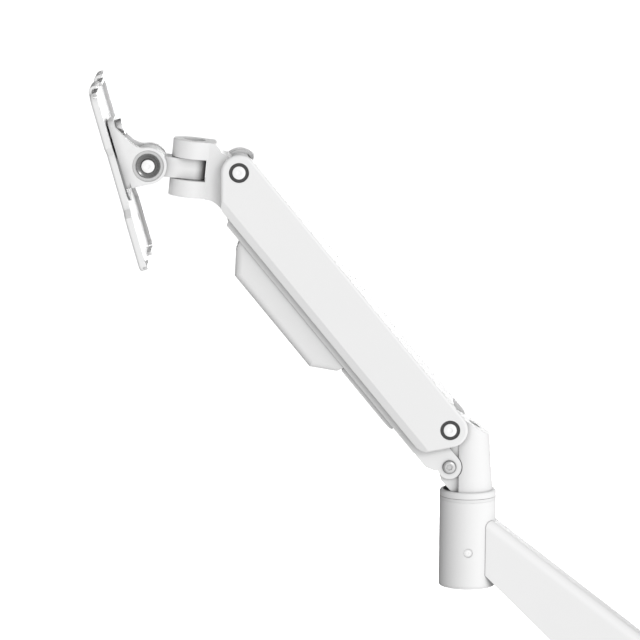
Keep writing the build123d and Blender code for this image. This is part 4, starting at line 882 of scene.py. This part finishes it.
@dataclass
class Pivots(SubAssembly):
    """The domed caps over the pivot bolts, the tilt bolt and the elbow's set screw.

    Each row of caps holds its node, its body, the sides that have one and its radius.
    """

    caps: tuple = (
        ("elbow_pivot_bolts", "knuckle", (-1.0, 1.0), 4.5),
        ("head_pivot_bolts", "yoke", (-1.0, 1.0), 4.5),
        ("tilt_bolt", "tilt_bracket", (-1.0,), 4.5),
        ("friction_screw", "lower_arm", (-1.0,), 2.1),
    )
    rise: float = 0.12
    dimple: float = 0.38
    dimple_depth: float = 0.35

    def cap(self, name: str, face: Vector, axis: Vector, radius: float) -> bpy.types.Object:
        """A shallow dome with a dimple in the middle.

        Args:
            name: the piece's name.
            face: the middle of the bolt head's face.
            axis: the way that the head faces.
            radius: the cap's radius in millimetres.

        Returns:
            The cap.
        """
        reach = np.linspace(1.0, 0.0, 40)
        dome = self.rise * radius * np.sqrt(1.0 - reach**2)
        dome -= self.dimple_depth * np.clip((self.dimple - reach) / 0.09, 0.0, 1.0)
        profile = [(-0.2, 0.0), (-0.2, radius)] + list(zip(dome.tolist(), (reach * radius).tolist()))
        return sheet_of(name, turned(profile, face, axis, 72))

    def build(self) -> None:
        """Puts a cap on each bolt."""
        for node, body, sides, radius in self.caps:
            low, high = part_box(node)
            middle = (low + high) / 2
            for side in sides:
                face = Vector((middle.x, low.y if side < 0 else high.y, middle.z))
                name = f"{node}_cap_{'near' if side < 0 else 'far'}"
                piece = self.cap(name, face, Vector((0.0, side, 0.0)), radius)
                self.add(piece, body, "white_paint", CapGloss())


@dataclass
class Elbow(SubAssembly):
    """The knuckle, its spindle and the spring's tension screw."""

    nodes: tuple = (
        "elbow_collar", "elbow_knuckle", "elbow_spindle", "spindle_screw", "adjust_screw",
        "anchor_block", "anchor_pins", "elbow_pivot_bolts", "link_elbow_screws",
    )


@dataclass
class UpperArm(SubAssembly):
    """The channel, the lower link with its cable cover, and the gas spring."""

    nodes: tuple = (
        "upper_channel", "elbow_arm_bushes", "head_arm_bushes", "spring_pin", "lower_link",
        "link_bushes", "cable_cover", "cable_strip", "gas_cylinder", "gas_rod", "rod_fork",
    )


@dataclass
class Head(SubAssembly):
    """The yoke, pan block, tilt bracket and screen plate."""

    nodes: tuple = (
        "head_yoke", "head_pivot_bolts", "link_head_screws", "pan_pin", "pan_block", "pan_washers",
        "tilt_friction_washers", "tilt_bracket", "tilt_bolt", "tilt_nut", "tilt_dish_washers",
        "lock_screw", "rotation_bolt", "rotation_washer", "vesa_plate",
    )
    dish_radius: float = 8.6
    seat_radius: float = 4.9
    hole_radius: float = 3.3
    lip: float = 0.5
    thick: float = 1.0

    def dish(self, name: str, base: Vector, axis: Vector) -> bpy.types.Object:
        """A pressed washer: a raised lip, a hollow that falls as a quarter wave, and a flat seat.

        Args:
            name: the piece's name.
            base: the middle of its underside.
            axis: the way that it faces.

        Returns:
            The washer.
        """
        thick = self.thick
        rim = self.dish_radius - self.lip
        reach = np.linspace(rim, self.seat_radius + 0.4, 16)
        share = (rim - reach) / (rim - self.seat_radius - 0.4)
        fall = thick - 0.75 * np.sin(share * np.pi / 2.0)
        hollow = list(zip(fall.tolist(), reach.tolist()))
        profile = [(0.0, self.hole_radius), (0.0, self.dish_radius)]
        profile += arc((thick - 0.3, self.dish_radius - 0.3), 0.3, 90.0, 0.0, 5)
        profile += hollow + [(thick, self.seat_radius), (thick, self.hole_radius)]
        profile.append(profile[0])
        return sheet_of(name, turned(profile, base, axis, 96))

    def build(self) -> None:
        """Dresses the head and puts in the pressed washers of the tilt joint."""
        self.dress_nodes()
        low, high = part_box("tilt_dish_washers")
        middle = (low + high) / 2
        for side, word in ((-1.0, "near"), (1.0, "far")):
            base = Vector((middle.x, side * (high.y - self.thick * MM), middle.z))
            washer = self.dish(f"tilt_dish_{word}", base, Vector((0.0, side, 0.0)))
            self.add(washer, "tilt_bracket", "bright_steel", DarkPlate())
            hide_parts("tilt_dish_washers")


@dataclass
class ButtonHeads(SubAssembly):
    """Domed faces with a hexagon socket on the link's pivot screws."""

    places: tuple = ("link_elbow_screws", "link_head_screws")
    bodies: tuple = ("knuckle", "yoke")
    radius: float = 4.1
    socket: float = 1.9
    rise: float = 0.5

    def head(self, name: str, face: Vector, axis: Vector) -> bpy.types.Object:
        """A ring dome round a hexagon: the hexagon's reach is its apothem over the cosine of the
        turn from the nearest flat, and the ring falls as half a circle does.

        Args:
            name: the piece's name.
            face: the middle of the screw head's face.
            axis: the way that the head faces.

        Returns:
            The head.
        """
        turn = np.arange(96) * (2.0 * np.pi / 96)
        off_flat = (turn + np.pi / 6.0) % (np.pi / 3.0) - np.pi / 6.0
        hexagon = self.socket / np.cos(off_flat)
        share = np.linspace(0.0, 1.0, 14)[:, None]
        reach = self.radius + (hexagon[None, :] - self.radius) * share
        dome = self.rise * np.sin(np.clip(share * 1.6, 0.0, 1.0) * np.pi / 2.0)
        rise = np.broadcast_to(dome, reach.shape)
        below = np.array([[0.0], [self.radius]]) * np.ones((2, 96))
        reach = np.concatenate([below, reach, hexagon[None, :], np.zeros((1, 96))])
        rise = np.concatenate([np.full((2, 96), -0.1), rise, np.zeros((2, 96))])
        side = axis.orthogonal().normalized()
        other = axis.cross(side)
        ring = np.cos(turn)[:, None] * np.array(side) + np.sin(turn)[:, None] * np.array(other)
        grid = reach[:, :, None] * MM * ring[None, :, :] + rise[:, :, None] * MM * np.array(axis)
        return sheet_of(name, grid + np.array(face), 40.0)

    def build(self) -> None:
        """Puts a head on each screw."""
        for node, body in zip(self.places, self.bodies):
            low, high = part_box(node)
            middle = (low + high) / 2
            for side, word in ((-1.0, "near"), (1.0, "far")):
                face = Vector((middle.x, high.y * side, middle.z))
                piece = self.head(f"{node[:-7]}_button_{word}", face, Vector((0.0, side, 0.0)))
                self.add(piece, body, "zinc_steel")


def main() -> None:
    """Builds every part of the scene in order and reports it."""
    logging.basicConfig(level=logging.INFO, format="%(message)s")
    palette = Palette(Finishes())
    for group in (Base, DeskClamp, LowerArm, Elbow, UpperArm, Head, Pivots, ButtonHeads):
        group(palette).build()
    Studio(floor_z=CAD_BOX[0].z).build()


if __name__ == "__main__":
    main()
